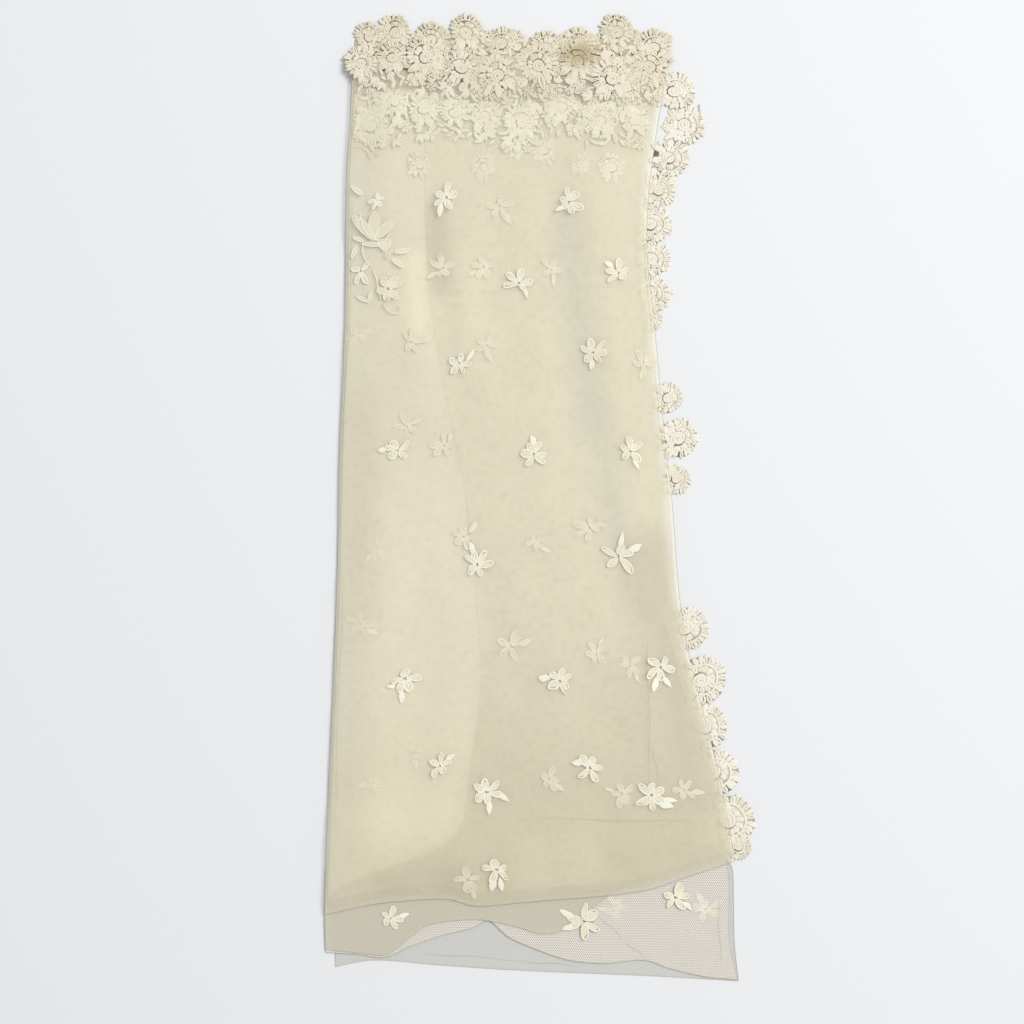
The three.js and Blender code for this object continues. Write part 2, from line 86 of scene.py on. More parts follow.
# Distances between grid points, across and along
BASE_STEPS = (6, 7)
MIDDLE_STEPS = (4.4, 7)
PLY_STEPS = (5, 5)
CORE_STEPS = (7, 9)
INNER_STEPS = (5, 5)
TOP_STEPS = (3.4, 4.6)

# Rim of the hidden layers
CORE_LAYERS = 3
CORE_LAYER_DEPTH = 0.9
RINGS_PER_LAYER = 4
PLY_THREAD = 0.5

LEFT_EDGE = {
    "y": [450, 409, 316, 166, 46, -64, -204, -294, -419, -457],
    "x": [-190, -189, -194, -196, -201, -203, -208, -212, -216, -215],
}
RIGHT_EDGE = {
    "y": [436, 316, 246, 166, 56, -4, -104, -164, -204, -284, -364],
    "x": [127, 109, 106, 114, 124, 131, 139, 149, 159, 179, 194],
}
TOP_FOLD = {
    "x": [-217, -166, -95, -64, -14, 100, 155, 195],
    "y": [-419, -408, -403, -410, -406, -395, -378, -365],
}
INNER_FOLD = {
    "y": [434, 231, 120, 0, -144, -200, -270, -330, -351, -370, -394, -420],
    "x": [-116, -113, -98, -75, -61, -60, -70, -80, -102, -149, -206, -212],
}
MIDDLE_FOLD = {
    "x": [-215, -184, -156, -133, -101, -66, -51, -32, -9, 24, 60, 103, 125, 157, 197],
    "y": [-457, -459, -462, -452, -441, -432, -425, -441, -452, -464, -468, -465, -473, -481, -485],
}
SIDE_SEAM = {
    "y": [430, 310, 178, 141, 100, 56, 16, -44, -102, -132, -184, -271, -322, -372, -451, -485],
    "x": [110, 94, 92, 82, 104, 112, 108, 94, 104, 126, 138, 158, 174, 187, 189, 197],
}
BASE_EDGE = {
    "y": [430, 178, 141, 56, -44, -184, -322, -352, -366, -374, -400, -448, -486],
    "x": [92, 76, 68, 94, 78, 122, 158, 176, 188, 192, 193, 194, 198],
}
BASE_FOLD = {
    "x": [-207, -169, -101, -25, 114, 198],
    "y": [-472, -465, -470, -475, -481, -486],
}

# Edge of the ply folded back over the middle layer
PLY_TOP = -372
PLY_RIGHT = 104
PLY_LIFT = 0.8
PLY_EDGE = {
    "x": [-216, -175, -154, -133, -116, -95, -70, -53, -25, 0, 22, 44, 66, 89, 104],
    "y": [-454, -458, -459, -443, -431, -426, -424, -425, -431, -438, -435, -419, -401, -390, -386],
}

# Soft folds of the whole pile: from, to, half width, rise (below 0 for a trough)
FOLDS = table(
    "start end half rise",
    ((-124, 250), (-116, 150), 22, 1.4),
    ((-72, 256), (-64, 130), 22, 1.4),
    ((20, 270), (52, 70), 26, -1.6),
    ((52, 70), (100, -110), 30, -1.4),
    ((-20, 60), (20, -300), 46, 1.4),
    ((-150, 90), (-165, -290), 40, 1.2),
    ((106, -140), (112, -290), 26, 1.6),
)
# Narrow creases of the top layer: line is the width of the strip where the net lies double, coloured darker
# as painted shade in the crease
CREASES = table(
    "start end half rise line",
    ((106, -140), (108, -288), 2.6, 1.0, 1.6),
    ((111, -248), (117, -288), 2.6, 0.7, 1.3),
    ((0, -321), (163, -325), 3.0, 0.6, 1.2),
    ((-62, -144), (-61, -240), 5, 0.5, 0),
    ((-62, -240), (-77, -300), 5, 0.5, 0),
    ((-78, -307), (-58, -307), 3, 0.4, 0),
    ((-80, -312), (-84, -368), 4, 0.5, 0),
    ((70, 20), (128, -170), 7, 0.6, 0),
    ((128, -170), (168, -330), 6, 0.7, 0),
    ((118, -110), (146, -212), 5, 0.6, 1.2),
    ((-188, 300), (-200, -20), 4, 0.5, 0.9),
    ((-198, -80), (-206, -330), 4, 0.5, 0.9),
    ((-113, 291), (-112, 226), 6, -0.6, 0.7),
)
# Creases of the lower layers, with strips of painted shade along them
MIDDLE_CREASES = table(
    "start end line",
    ((57, -420), (84, -446), 1.4),
    ((84, -446), (106, -464), 1.4),
    ((178, -398), (180, -470), 1.2),
)
BASE_CREASES = table(
    "start end line",
    ((-120, -458), (-22, -466), 1.2),
    ((-26, -465), (40, -472), 1.2),
)

# Stains in the lace, which fade from an inner to an outer radius
STAINS = table(
    "x y inner outer share",
    (37, 442, 13, 33, 0.8),
    (31, 373, 6, 15, 0.6),
)

# Bands of painted shade and painted light in the hidden layers, along their folds, creases and edges: the
# shade bands darker, the light bands lighter, the cool bands greyer
PAINTED_SHADE_BANDS = table(
    "start end half tone share",
    ((-106, 286), (-100, 214), 22, "shade", 0.75),
    ((-126, 236), (-122, 160), 18, "light", 0.7),
    ((-72, 246), (-68, 130), 18, "light", 0.7),
    ((26, 270), (46, 80), 30, "cool", 0.6),
    ((46, 80), (100, -110), 34, "cool", 0.5),
    ((-185, 330), (-205, -400), 26, "cool", 0.6),
    ((112, -60), (150, -300), 48, "shade", 0.8),
    ((-175, 80), (-185, -120), 50, "shade", 0.35),
    ((-150, -392), (-90, -386), 30, "shade", 0.6),
    ((0, -372), (40, -368), 50, "light", 0.5),
    ((-170, -330), (-110, -318), 46, "light", 0.3),
)

# Where layers rise onto what lies beneath them, and fall past its end
FOLD_END_STRETCH = 0.5
PILE_END_FALL = 40
INNER_SIDE_RISE = (-64, -24)
INNER_LOWER_RISE = (-338, -292)
INNER_END_FALL = (2, 40)
UNDER_LACE_RISE = 46
TOP_END_FALL = (12, 52)
LACE_BULGE = 0.5

# How far the top layer bends down at its folds, and over what width
LEFT_DROP, LEFT_BEND = 1.2, 7
RIGHT_DROP, RIGHT_BEND = 1.2, 12
LOWER_DROP, LOWER_BEND = 1.5, 13

# Unevenness of loose cloth and lace
RIPPLE_WAVES = 16
RIPPLE_HEIGHT = 0.11
CRUMPLE_LENGTH = 0.55
LACE_CRUMPLE = 0.3
SPRIG_CRUMPLE = 0.55

FRONT_ROSETTES = table(
    "x y r",
    (-180, 434, 17), (-149, 440, 16), (-116, 441, 20), (-81, 428, 17), (-44, 422, 20),
    (-3, 432, 21), (37, 436, 19), (70, 418, 21), (108, 430, 19),
)
BACK_ROSETTES = table(
    "x y r",
    (-173, 462, 15), (-147, 466, 18), (-110, 458, 18), (-75, 466, 18), (-39, 454, 18), (5, 450, 18),
    (37, 453, 18), (75, 466, 18), (113, 450, 19),
)
UNDER_ROSETTES = table(
    "x y r",
    (-170, 371, 18), (-147, 394, 14), (-116, 388, 16), (-86, 384, 16), (-55, 380, 16),
    (-20, 374, 18), (21, 390, 16), (58, 376, 17), (92, 376, 15),
)
UPPER_SIDE_ROSETTES = table(
    "x y r",
    (136, 406, 20), (146, 372, 20), (130, 338, 19), (119, 306, 17), (112, 272, 18), (113, 238, 18),
    (112, 204, 18), (108, 178, 15),
)
# Lines where the upper side border is folded and twisted
SIDE_FOLDS = [
    [(159, 393), (160, 378), (156, 364), (147, 353), (139, 348)],
    [(138, 351), (131, 341), (122, 335), (112, 330)],
]
MIDDLE_SIDE_ROSETTES = table(
    "x y r",
    (128, 98, 15), (139, 58, 20), (136, 16, 15),
)
LOWER_SIDE_ROSETTES = table(
    "x y r",
    (147, -133, 22), (162, -184, 25), (165, -231, 24), (176, -277, 24), (189, -325, 27),
    (199, -352, 13),
)

# Crisp sprigs: centre, width across, petals, turn, and the directions of their leaves
SPRIGS = table(
    "x y across petals turn leaves on",
    (-95, 298, 27, 5, 10, [250], "top"),
    (30, 294, 27, 6, 40, [215], "top"),
    (-22, 214, 28, 5, 0, [300], "top"),
    (77, 224, 24, 5, 20, [140], "top"),
    (53, 145, 29, 6, 50, [250], "top"),
    (-82, 132, 28, 5, 15, [40], "top"),
    (-144, 46, 27, 5, 30, [180], "top"),
    (-6, 42, 27, 6, 5, [100], "top"),
    (90, 46, 29, 5, 25, [290], "top"),
    (-63, -66, 29, 6, 45, [110], "top"),
    (78, -61, 34, 5, 12, [35, 80], "top"),
    (-135, -184, 30, 5, 20, [200, 265], "top"),
    (19, -184, 30, 6, 35, [180], "top"),
    (118, -173, 29, 5, 0, [262, 295], "top"),
    (-102, -268, 26, 5, 15, [30], "top"),
    (-54, -295, 30, 6, 40, [330, 270], "top"),
    (49, -272, 29, 5, 5, [160], "top"),
    (111, -298, 33, 6, 28, [315, 345], "top"),
    (-45, -374, 29, 5, 18, [250, 285], "top"),
    (-150, -424, 26, 5, 8, [20], "middle"),
    (43, -426, 34, 6, 32, [205, 150], "middle"),
    (135, -402, 28, 5, 12, [320], "middle"),
)
# Sprigs that show faintly through the top layer
FAINT_SPRIGS = {
    "x": [-42, -99, -59, 10, -183, -128, -55, 103, -135, -98, -77, 46,
          -5, -162, -182, -30, 88, 54, -126, -167, 9, 79, 144, -74],
    "y": [288, 229, 228, 227, 159, 155, 150, 135, 70, 49, -41, -33,
          -47, -52, -128, -149, -169, -157, -256, -286, -283, -298, -292, -385],
}
# Sprigs that show faintly in the lowest layer
LOW_SPRIGS = {"x": [-182, 75, 166], "y": [-420, -411, -414]}

# Rosettes deeper down, that show faintly below the second tier of lace
DEEP_ROSETTES = table(
    "x y r",
    (-122, 332, 13), (-58, 330, 14), (-24, 350, 12), (4, 346, 13), (39, 333, 12), (70, 330, 14),
)

# Corner spray: padded petals and leaves, corded stems and flowers
SPRAY_PADS = table(
    "x y turn length width bend shift",
    (-167, 255, 124, 32, 12, 4, 1.0),
    (-167, 256, 92, 27, 13, -2, 1.2),
    (-166, 256, 50, 25, 11, -3, 1.0),
    (-190, 310, -42, 15, 5, 1, 1.0),
    (-188, 258, -12, 11, 4, -1, 1.0),
    (-179, 252, -6, 19, 5, 1, 1.0),
    (-157, 244, 68, 13, 9, 0, 1.3),
    (-156, 246, 122, 11, 8, 0, 1.3),
    (-146, 243, 6, 15, 5, 1, 1.0),
    (-149, 236, -28, 14, 5, -1, 1.0),
    (-185, 200, -30, 13, 4, 1, 1.0),
    (-173, 193, 72, 11, 4, 0, 1.0),
    (-190, 238, 60, 12, 5, 1, 1.0),
)
SPRAY_STEMS = [
    [(-181, 282), (-179, 270), (-173, 260), (-165, 255), (-156, 256), (-150, 262)],
    [(-178, 253), (-179, 244), (-176, 236), (-170, 230)],
    [(-168, 226), (-164, 216), (-163, 206), (-160, 196)],
    [(-158, 192), (-154, 186), (-149, 182), (-143, 182), (-139, 186), (-142, 190)],
    [(-153, 243), (-151, 240), (-153, 237), (-156, 239), (-153, 243)],
]
SPRAY_FLOWERS = table(
    "x y across petals turn",
    (-165, 293, 17, 5, 20),
    (-181, 223, 27, 4, 50),
    (-151, 208, 28, 6, 10),
)


def curve(table, at, value):
    """A smooth curve through a table's rows, read at one column for another."""
    order = np.argsort(table[at])
    places = np.asarray(table[at], float)[order]
    values = np.asarray(table[value], float)[order]
    slopes = np.empty_like(values)
    slopes[1:-1] = (values[2:] - values[:-2]) / (places[2:] - places[:-2])
    slopes[0] = (values[1] - values[0]) / (places[1] - places[0])
    slopes[-1] = (values[-1] - values[-2]) / (places[-1] - places[-2])

    def read(position):
        position = np.clip(position, places[0], places[-1])
        i = np.clip(np.searchsorted(places, position) - 1, 0, len(places) - 2)
        span = places[i + 1] - places[i]
        t = (position - places[i]) / span
        rise = values[i + 1] - values[i]
        start, end = slopes[i] * span - rise, rise - slopes[i + 1] * span
        return values[i] + rise * t + t * (1 - t) * (start * (1 - t) + end * t)

    return read


left_edge = curve(LEFT_EDGE, "y", "x")
right_edge = curve(RIGHT_EDGE, "y", "x")
top_fold = curve(TOP_FOLD, "x", "y")
inner_fold = curve(INNER_FOLD, "y", "x")
middle_fold = curve(MIDDLE_FOLD, "x", "y")
side_seam = curve(SIDE_SEAM, "y", "x")
base_edge = curve(BASE_EDGE, "y", "x")
base_fold = curve(BASE_FOLD, "x", "y")
ply_edge = curve(PLY_EDGE, "x", "y")


def smoothstep(value, low, high):
    t = np.clip((value - low) / (high - low), 0, 1)
    return t * t * (3 - 2 * t)


def ridges(rows, x, y):
    """Height that a table of folds or creases adds at points."""
    height = np.zeros(np.broadcast(x, y).shape)
    for row in rows:
        (x0, y0), (x1, y1) = row["start"], row["end"]
        length = math.hypot(x1 - x0, y1 - y0)
        along = ((x - x0) * (x1 - x0) + (y - y0) * (y1 - y0)) / length
        across = ((x - x0) * (y1 - y0) - (y - y0) * (x1 - x0)) / length
        past = np.maximum(0, np.maximum(-along, along - length))
        distance = np.hypot(across, past * FOLD_END_STRETCH) / row["half"]
        height = height + row["rise"] * np.exp(-distance * distance)
    return height


def pile_top(x, y):
    """Top of the hidden layers, carried on past their outline."""
    depth = np.minimum.reduce([
        x - left_edge(y) - CORE_INSET["left"],
        right_edge(y) - CORE_INSET["right"] - x,
        NET_INNER_END - CORE_INSET["top"] - y,
        y - top_fold(x) - CORE_INSET["bottom"],
    ])
    full = smoothstep(depth, -PILE_REACH, PILE_ROUNDING)
    low = PILE_EDGE_HEIGHT * (1 - smoothstep(y, NET_LOWER_END, NET_LOWER_END + PILE_END_FALL))
    return low + (PILE_HEIGHT - low) * full + ridges(FOLDS, x, y) * full


def inner_lift(x, y):
    from_side = smoothstep(x - inner_fold(y), *INNER_SIDE_RISE)
    from_below = 1 - smoothstep(y, *INNER_LOWER_RISE)
    before_end = 1 - smoothstep(y - NET_INNER_END, *INNER_END_FALL)
    return np.maximum(from_side, from_below) * before_end


def under_lace_lift(y):
    over_lace = smoothstep(y - UNDER_LACE_START, 0, UNDER_LACE_RISE)
    return over_lace * (1 - smoothstep(y - NET_TOP_END, *TOP_END_FALL))


def lace_underside(x, y):
    """Underside of what lies on the inner layer, or on the hidden layers where that has ended."""
    return pile_top(x, y) + LAYER_GAP + inner_lift(x, y) * (NET_WALL + LAYER_GAP)


def top_underside(x, y):
    return lace_underside(x, y) + under_lace_lift(y) * (LACE_WALL + LAYER_GAP)


def front_lace_underside(x, y):
    return top_underside(x, y) + NET_WALL + LACE_BULGE


waves_rng = np.random.default_rng(11)
WAVE_ANGLES = waves_rng.uniform(0, math.pi, RIPPLE_WAVES)
WAVE_LENGTHS = waves_rng.uniform(24, 95, RIPPLE_WAVES)
WAVE_PHASES = waves_rng.uniform(0, 2 * math.pi, RIPPLE_WAVES)


def ripples(x, y):
    """Slight unevenness of cloth that lies loose."""
    height = np.zeros(np.broadcast(x, y).shape)
    for angle, length, phase in zip(WAVE_ANGLES, WAVE_LENGTHS, WAVE_PHASES):
        along = x * math.cos(angle) + y * math.sin(angle)
        height = height + RIPPLE_HEIGHT * np.sin(2 * math.pi * along / length + phase)
    return height


def edge_drop(x, y):
    """How far the top layer bends down to its folds."""
    left = LEFT_DROP * (1 - smoothstep(x - left_edge(y), 0, LEFT_BEND))
    right = RIGHT_DROP * (1 - smoothstep(right_edge(y) - x, 0, RIGHT_BEND))
    below = LOWER_DROP * (1 - smoothstep(y - top_fold(x), 0, LOWER_BEND))
    return np.maximum(np.maximum(left, right), below)


def top_surface(x, y):
    """Middle of the top layer's cloth."""
    loose = ridges(CREASES, x, y) + ripples(x, y)
    over_lace = LACE_BULGE * under_lace_lift(y)
    return top_underside(x, y) + NET_WALL / 2 + over_lace + loose - edge_drop(x, y)


def inner_surface(x, y):
    return pile_top(x, y) + LAYER_GAP + NET_WALL / 2 + 0.5 * ripples(x, y)


def middle_surface(x, y):
    return MIDDLE_UNDERSIDE + NET_WALL / 2 + 0.5 * ripples(y, x)


def ply_surface(x, y):
    return middle_surface(x, y) + PLY_LIFT


def base_surface(x, y):
    return np.full(np.broadcast(x, y).shape, NET_WALL / 2)


def level(height):
    return lambda position: np.full(np.shape(position), float(height))


# Mesh making

UNDERSIDE_NORMAL = -0.6


def mesh_object(name, points, faces, materials, face_materials=None):
    mesh = bpy.data.meshes.new(name)
    mesh.from_pydata((np.asarray(points) * MM).tolist(), [], faces)
    for material in materials:
        mesh.materials.append(material)
    if face_materials is not None:
        mesh.polygons.foreach_set("material_index", face_materials)
    mesh.update()
    normals = np.empty(len(mesh.polygons) * 3)
    mesh.polygons.foreach_get("normal", normals)
    mesh.polygons.foreach_set("use_smooth", normals[2::3] > UNDERSIDE_NORMAL)
    obj = bpy.data.objects.new(name, mesh)
    bpy.context.scene.collection.objects.link(obj)
    return obj


def panel_grid(left, right, upper, lower, step_across, step_along):
    """Points of a panel between its four edges, row by row from its upper edge."""
    middle_x = 0.0
    height = float(upper(middle_x) - lower(middle_x))
    rows = max(2, round(height / step_along))
    middle_y = float(upper(middle_x) + lower(middle_x)) / 2
    columns = max(2, round(float(right(middle_y) - left(middle_y)) / step_across))
    down, over = np.meshgrid(np.linspace(0, 1, rows + 1), np.linspace(0, 1, columns + 1), indexing="ij")
    nominal_y = upper(middle_x) + (lower(middle_x) - upper(middle_x)) * down
    nominal_x = left(nominal_y) + (right(nominal_y) - left(nominal_y)) * over
    y = upper(nominal_x) + (lower(nominal_x) - upper(nominal_x)) * down
    x = left(y) + (right(y) - left(y)) * over
    return x, y


def grid_outline(shape):
    """Vertex numbers round a grid, anticlockwise from its upper left corner."""
    rows, columns = shape
    number = np.arange(rows * columns).reshape(shape)
    return np.concatenate([number[:-1, 0], number[-1, :-1], number[:0:-1, -1], number[0, :0:-1]])


def grid_faces(shape):
    rows, columns = shape
    number = np.arange(rows * columns).reshape(shape)
    a, b = number[:-1, :-1], number[1:, :-1]
    c, d = number[1:, 1:], number[:-1, 1:]
    return np.stack([a, b, c, d], axis=-1).reshape(-1, 4)


def ring_faces(upper_ring, lower_ring):
    return np.stack([upper_ring, lower_ring, np.roll(lower_ring, -1), np.roll(upper_ring, -1)], axis=-1)


def outward(x, y, outline):
    """Unit directions out of a grid's outline."""
    ring = np.stack([x.ravel()[outline], y.ravel()[outline]], axis=-1)
    run = np.roll(ring, -1, axis=0) - np.roll(ring, 1, axis=0)
    run /= np.linalg.norm(run, axis=1, keepdims=True)
    return np.stack([run[:, 1], -run[:, 0]], axis=-1)


def plan_area(x, y):
    """Area in square metres that a grid covers, seen from above."""
    outline = grid_outline(x.shape)
    px, py = x.ravel()[outline] * MM, y.ravel()[outline] * MM
    return 0.5 * abs(np.dot(px, np.roll(py, -1)) - np.dot(py, np.roll(px, -1)))


CORD_SIDES = 6


def cord(path, width, height, closed):
    """A raised cord along a path of points that lie at its middle height."""
    path = np.asarray(path, float)
    if closed:
        run = np.roll(path, -1, axis=0) - np.roll(path, 1, axis=0)
    else:
        run = np.gradient(path, axis=0)
    run = run / np.maximum(np.linalg.norm(run[:, :2], axis=1, keepdims=True), 1e-9)
    side = np.stack([-run[:, 1], run[:, 0], np.zeros(len(run))], axis=-1)
    turn = np.arange(CORD_SIDES) * 2 * math.pi / CORD_SIDES
    points = path[:, None, :] + side[:, None, :] * (np.cos(turn) * width / 2)[None, :, None]
    points[:, :, 2] += np.sin(turn)[None, :] * height / 2
    faces = []
    last = len(path) if closed else len(path) - 1
    for i in range(last):
        a, b = i * CORD_SIDES, ((i + 1) % len(path)) * CORD_SIDES
        for k in range(CORD_SIDES):
            n = (k + 1) % CORD_SIDES
            faces.append([a + k, b + k, b + n, a + n])
    if not closed:
        faces.append(list(range(CORD_SIDES)))
        faces.append([(len(path) - 1) * CORD_SIDES + k for k in reversed(range(CORD_SIDES))])
    return points.reshape(-1, 3), faces


def ribbon(start, end, width, surface, seed):
    """A narrow strip along a crease, pointed at both ends and not quite straight: painted shade in the
    crease.
    """
    rng = np.random.default_rng(seed)
    share = np.linspace(0, 1, RIBBON_STEPS + 1)
    run = np.subtract(end, start)
    side = np.array([-run[1], run[0]]) / np.hypot(*run)
    sway = RIBBON_SWAY * np.sin(math.pi * share) * np.sin(7 * share + rng.uniform(0, 6))
    half = width / 2 * np.sin(math.pi * share) ** 0.5 + 0.02
    middle = np.asarray(start) + share[:, None] * run + sway[:, None] * side
    rows = np.stack([middle + half[:, None] * side, middle - half[:, None] * side], axis=1)
    x, y = rows[..., 0], rows[..., 1]
    points = np.stack([x, y, surface(x, y) + RIBBON_LIFT], axis=-1).reshape(-1, 3)
    return points, grid_faces(x.shape).tolist()


def net_sheet(name, sides, surface, material, steps, thread=EDGE_THREAD, creases=()):
    """A sheet of net along a surface, with a darker thread round its edge as painted shade along the edge,
    and darker strips of painted shade where it is creased double.
    """
    x, y = panel_grid(*sides, *steps)
    points = [np.stack([x, y, surface(x, y)], axis=-1).reshape(-1, 3)]
    faces = grid_faces(x.shape).tolist()
    face_materials = [0] * len(faces)
    total = len(points[0])
    strips = [
        ribbon(row["start"], row["end"], row["line"], surface, seed)
        for seed, row in enumerate(creases) if row["line"]
    ]
    extras = [(strip, 2) for strip in strips]
    if thread:
        extras.append((cord(points[0][grid_outline(x.shape)], thread, NET_THICKNESS, True), 1))
    for (more_points, more_faces), slot in extras:
        points.append(more_points)
        faces += [[i + total for i in face] for face in more_faces]
        face_materials += [slot] * len(more_faces)
        total += len(more_points)
    piece = mesh_object(name, np.concatenate(points), faces, [material, *edge_and_crease_shades], face_materials)
    return piece, plan_area(x, y)


def layered_core(name, sides, material, layers, depth):
    """The hidden layers: a rounded solid whose rim shows the edges of its layers."""
    x, y = panel_grid(*sides, *CORE_STEPS)
    z = pile_top(x, y)
    flat = np.stack([x, y, z], axis=-1).reshape(-1, 3)
    outline = grid_outline(x.shape)
    out = outward(x, y, outline)
    points, faces = [flat], [grid_faces(x.shape)]
    upper_ring, total = outline, len(flat)
    steps = layers * RINGS_PER_LAYER
    for step in range(1, steps + 1):
        share = step / steps
        ring = flat[outline].copy()
        ring[:, :2] += out * depth * abs(math.sin(math.pi * layers * share))
        ring[:, 2] += (CORE_UNDERSIDE - ring[:, 2]) * share
        lower_ring = np.arange(len(outline)) + total
        points.append(ring)
        faces.append(ring_faces(upper_ring, lower_ring))
        upper_ring, total = lower_ring, total + len(outline)
    under = np.stack([x, y, np.full(x.shape, CORE_UNDERSIDE)], axis=-1).reshape(-1, 3)
    points.append(under)
    faces.append(grid_faces(x.shape)[:, ::-1] + total)
    mesh = mesh_object(name, np.concatenate(points), np.concatenate(faces).tolist(), [material])
    return mesh, plan_area(x, y)


# Needlework: cords, pads and leaves in local millimetres, flat on z = 0

# Material slots of lace: thread; a darker ground, painted shade between and beneath the motifs; darker
# slits, painted shade in the petals' grooves
THREAD, GROUND_SHADE, SLIT_SHADE = 0, 1, 2


class Needlework:
    """Vertices and faces of one lace piece."""

    def __init__(self):
        self.points = []
        self.faces = []
        self.face_materials = []
        self.total = 0

    def add(self, shape, material=THREAD):
        points, faces, *slit_faces = shape
        materials = [material] * len(faces)
        for number in slit_faces[0] if slit_faces else ():
            materials[number] = SLIT_SHADE
        self.points.append(np.asarray(points, float))
        self.faces.extend([[i + self.total for i in face] for face in faces])
        self.face_materials.extend(materials)
        self.total += len(points)

    def add_work(self, other, place):
        points = place(np.concatenate(other.points))
        self.points.append(points)
        self.faces.extend([[i + self.total for i in face] for face in other.faces])
        self.face_materials.extend(other.face_materials)
        self.total += len(points)

    def object(self, name, materials):
        return mesh_object(name, np.concatenate(self.points), self.faces, materials, self.face_materials)


def circle(radius, count, squash=1.0):
    angle = np.arange(count) * 2 * math.pi / count
    return np.column_stack([radius * np.cos(angle), squash * radius * np.sin(angle)])


def plate(outline, low, high):
    """A thin domed plate inside an outline."""
    outline = np.asarray(outline, float)
    count = len(outline)
    edge = np.column_stack([outline[:, :2], np.full(count, low)])
    crown = np.append(outline[:, :2].mean(axis=0), high)
    faces = [[i, (i + 1) % count, count] for i in range(count)]
    faces.append(list(reversed(range(count))))
    return np.vstack([edge, crown]), faces


PAD_ACROSS = np.array([-1, -0.8, -0.42, -0.13, 0.13, 0.42, 0.8, 1])
PAD_PROFILE = np.array([0, 0.7, 1, 0.95, 0.95, 1, 0.7, 0])
SLIT_COLUMNS = (3, 4)


def padded(start, length, width, height, shift=1.0, blunt=0.7, slit=0.5, bend=0.0, stations=8):
    """A padded petal or leaf along x, as points, faces and the face numbers of its slit, which take a darker
    colour as painted shade in the groove.

    A shift above 1 moves its widest place outward, a blunt below 1 rounds its ends, and slit is the depth
    of the groove along it as a share of its height.
    """
    s = np.linspace(0, 1, stations)
    body = np.maximum(np.sin(math.pi * s ** shift), 0.0)
    half = width / 2 * np.maximum(body ** blunt, 0.06)
    rise = height * np.maximum(body, 0.04) ** 0.45
    count = len(PAD_ACROSS)
    x = np.repeat(start + length * s[:, None], count, axis=1)
    y = half[:, None] * PAD_ACROSS + bend * s[:, None] ** 2
    z = rise[:, None] * PAD_PROFILE
    slit_rows = range(2, stations - 2)
    for row in slit_rows:
        z[row, list(SLIT_COLUMNS)] *= 1 - slit
    points = np.stack([x, y, z], axis=-1).reshape(-1, 3)
    faces = []
    slit_faces = []
    for i in range(stations - 1):
        a, b = i * count, (i + 1) * count
        for k in range(count - 1):
            if k == SLIT_COLUMNS[0] and i in slit_rows and slit > 0.3:
                slit_faces.append(len(faces))
            faces.append([a + k, b + k, b + k + 1, a + k + 1])
        faces.append([a, a + count - 1, b + count - 1, b])
    faces.append(list(range(count)))
    faces.append([(stations - 1) * count + k for k in reversed(range(count))])
    return points, faces, slit_faces


def turned(points, degrees, x=0.0, y=0.0):
    c, s = math.cos(math.radians(degrees)), math.sin(math.radians(degrees))
    out = np.array(points, float)
    out[:, 0] = x + c * points[:, 0] - s * points[:, 1]
    out[:, 1] = y + s * points[:, 0] + c * points[:, 1]
    return out


def with_turn(shape, degrees, x=0.0, y=0.0):
    return turned(shape[0], degrees, x, y), *shape[1:]


def raised(path, height):
    return np.column_stack([path, np.full(len(path), height)])


def petal_path(inner, outer, half, steps=14):
    """A petal's loop from an inner to an outer radius along x."""
    t = np.arange(steps) * 2 * math.pi / steps
    share = (1 - np.cos(t)) / 2
    taper = 0.6 + 0.4 * np.sin(share * math.pi / 1.5)
    return np.column_stack([inner + (outer - inner) * share, half * np.sin(t) * taper])


# Shares of a rosette's radius
COIL_PITCH = 0.165
COIL_SHIFT = 0.1
COIL_REACH = 0.34
INNER_PETALS = {"start": 0.3, "end": 0.64, "angle": 27, "spread": 1.15}
RING_REACH = 0.63
COIL_POINTS = 44
RING_POINTS = 28
FINGERED = {"plate": 0.84, "fingers": {"start": 0.56, "end": 1.0, "angle": 16.5, "spread": 1.0}}
FANNED = {"plate": 0.92, "fingers": {"start": 0.58, "end": 1.0, "angle": 15.5, "spread": 1.15}}


def coil_path(rng, inner, outer, turns):
    """A spiral from an inner to an outer radius."""
    share = np.linspace(0, 1, COIL_POINTS)
    angle = 2 * math.pi * turns * share + rng.uniform(0, 6)
    reach = inner + (outer - inner) * share
    return np.column_stack([reach * np.cos(angle), 0.92 * reach * np.sin(angle)])


def add_petals(work, rng, radius, middle, arc, row):
    """A ring of petals over an arc, each a little unlike the next."""
    count = round(arc / row["angle"])
    step = arc / count
    for k in range(count):
        degrees = middle + step * (k + 0.5 + rng.uniform(-0.2, 0.2)) - arc / 2
        start = radius * row["start"]
        length = (radius * row["end"] - start) * rng.uniform(0.84, 1.12)
        width = row["spread"] * 1.5 * radius * row["end"] * math.tan(math.radians(step / 2))
        slit = rng.choice([0.2, 0.9])
        width *= rng.uniform(0.85, 1.15)
        height = rng.uniform(0.75, 1.1)
        bend = rng.uniform(-0.9, 0.9)
        work.add(with_turn(padded(start, length, width, height, 1.25, 0.5, slit, bend, 7), degrees))


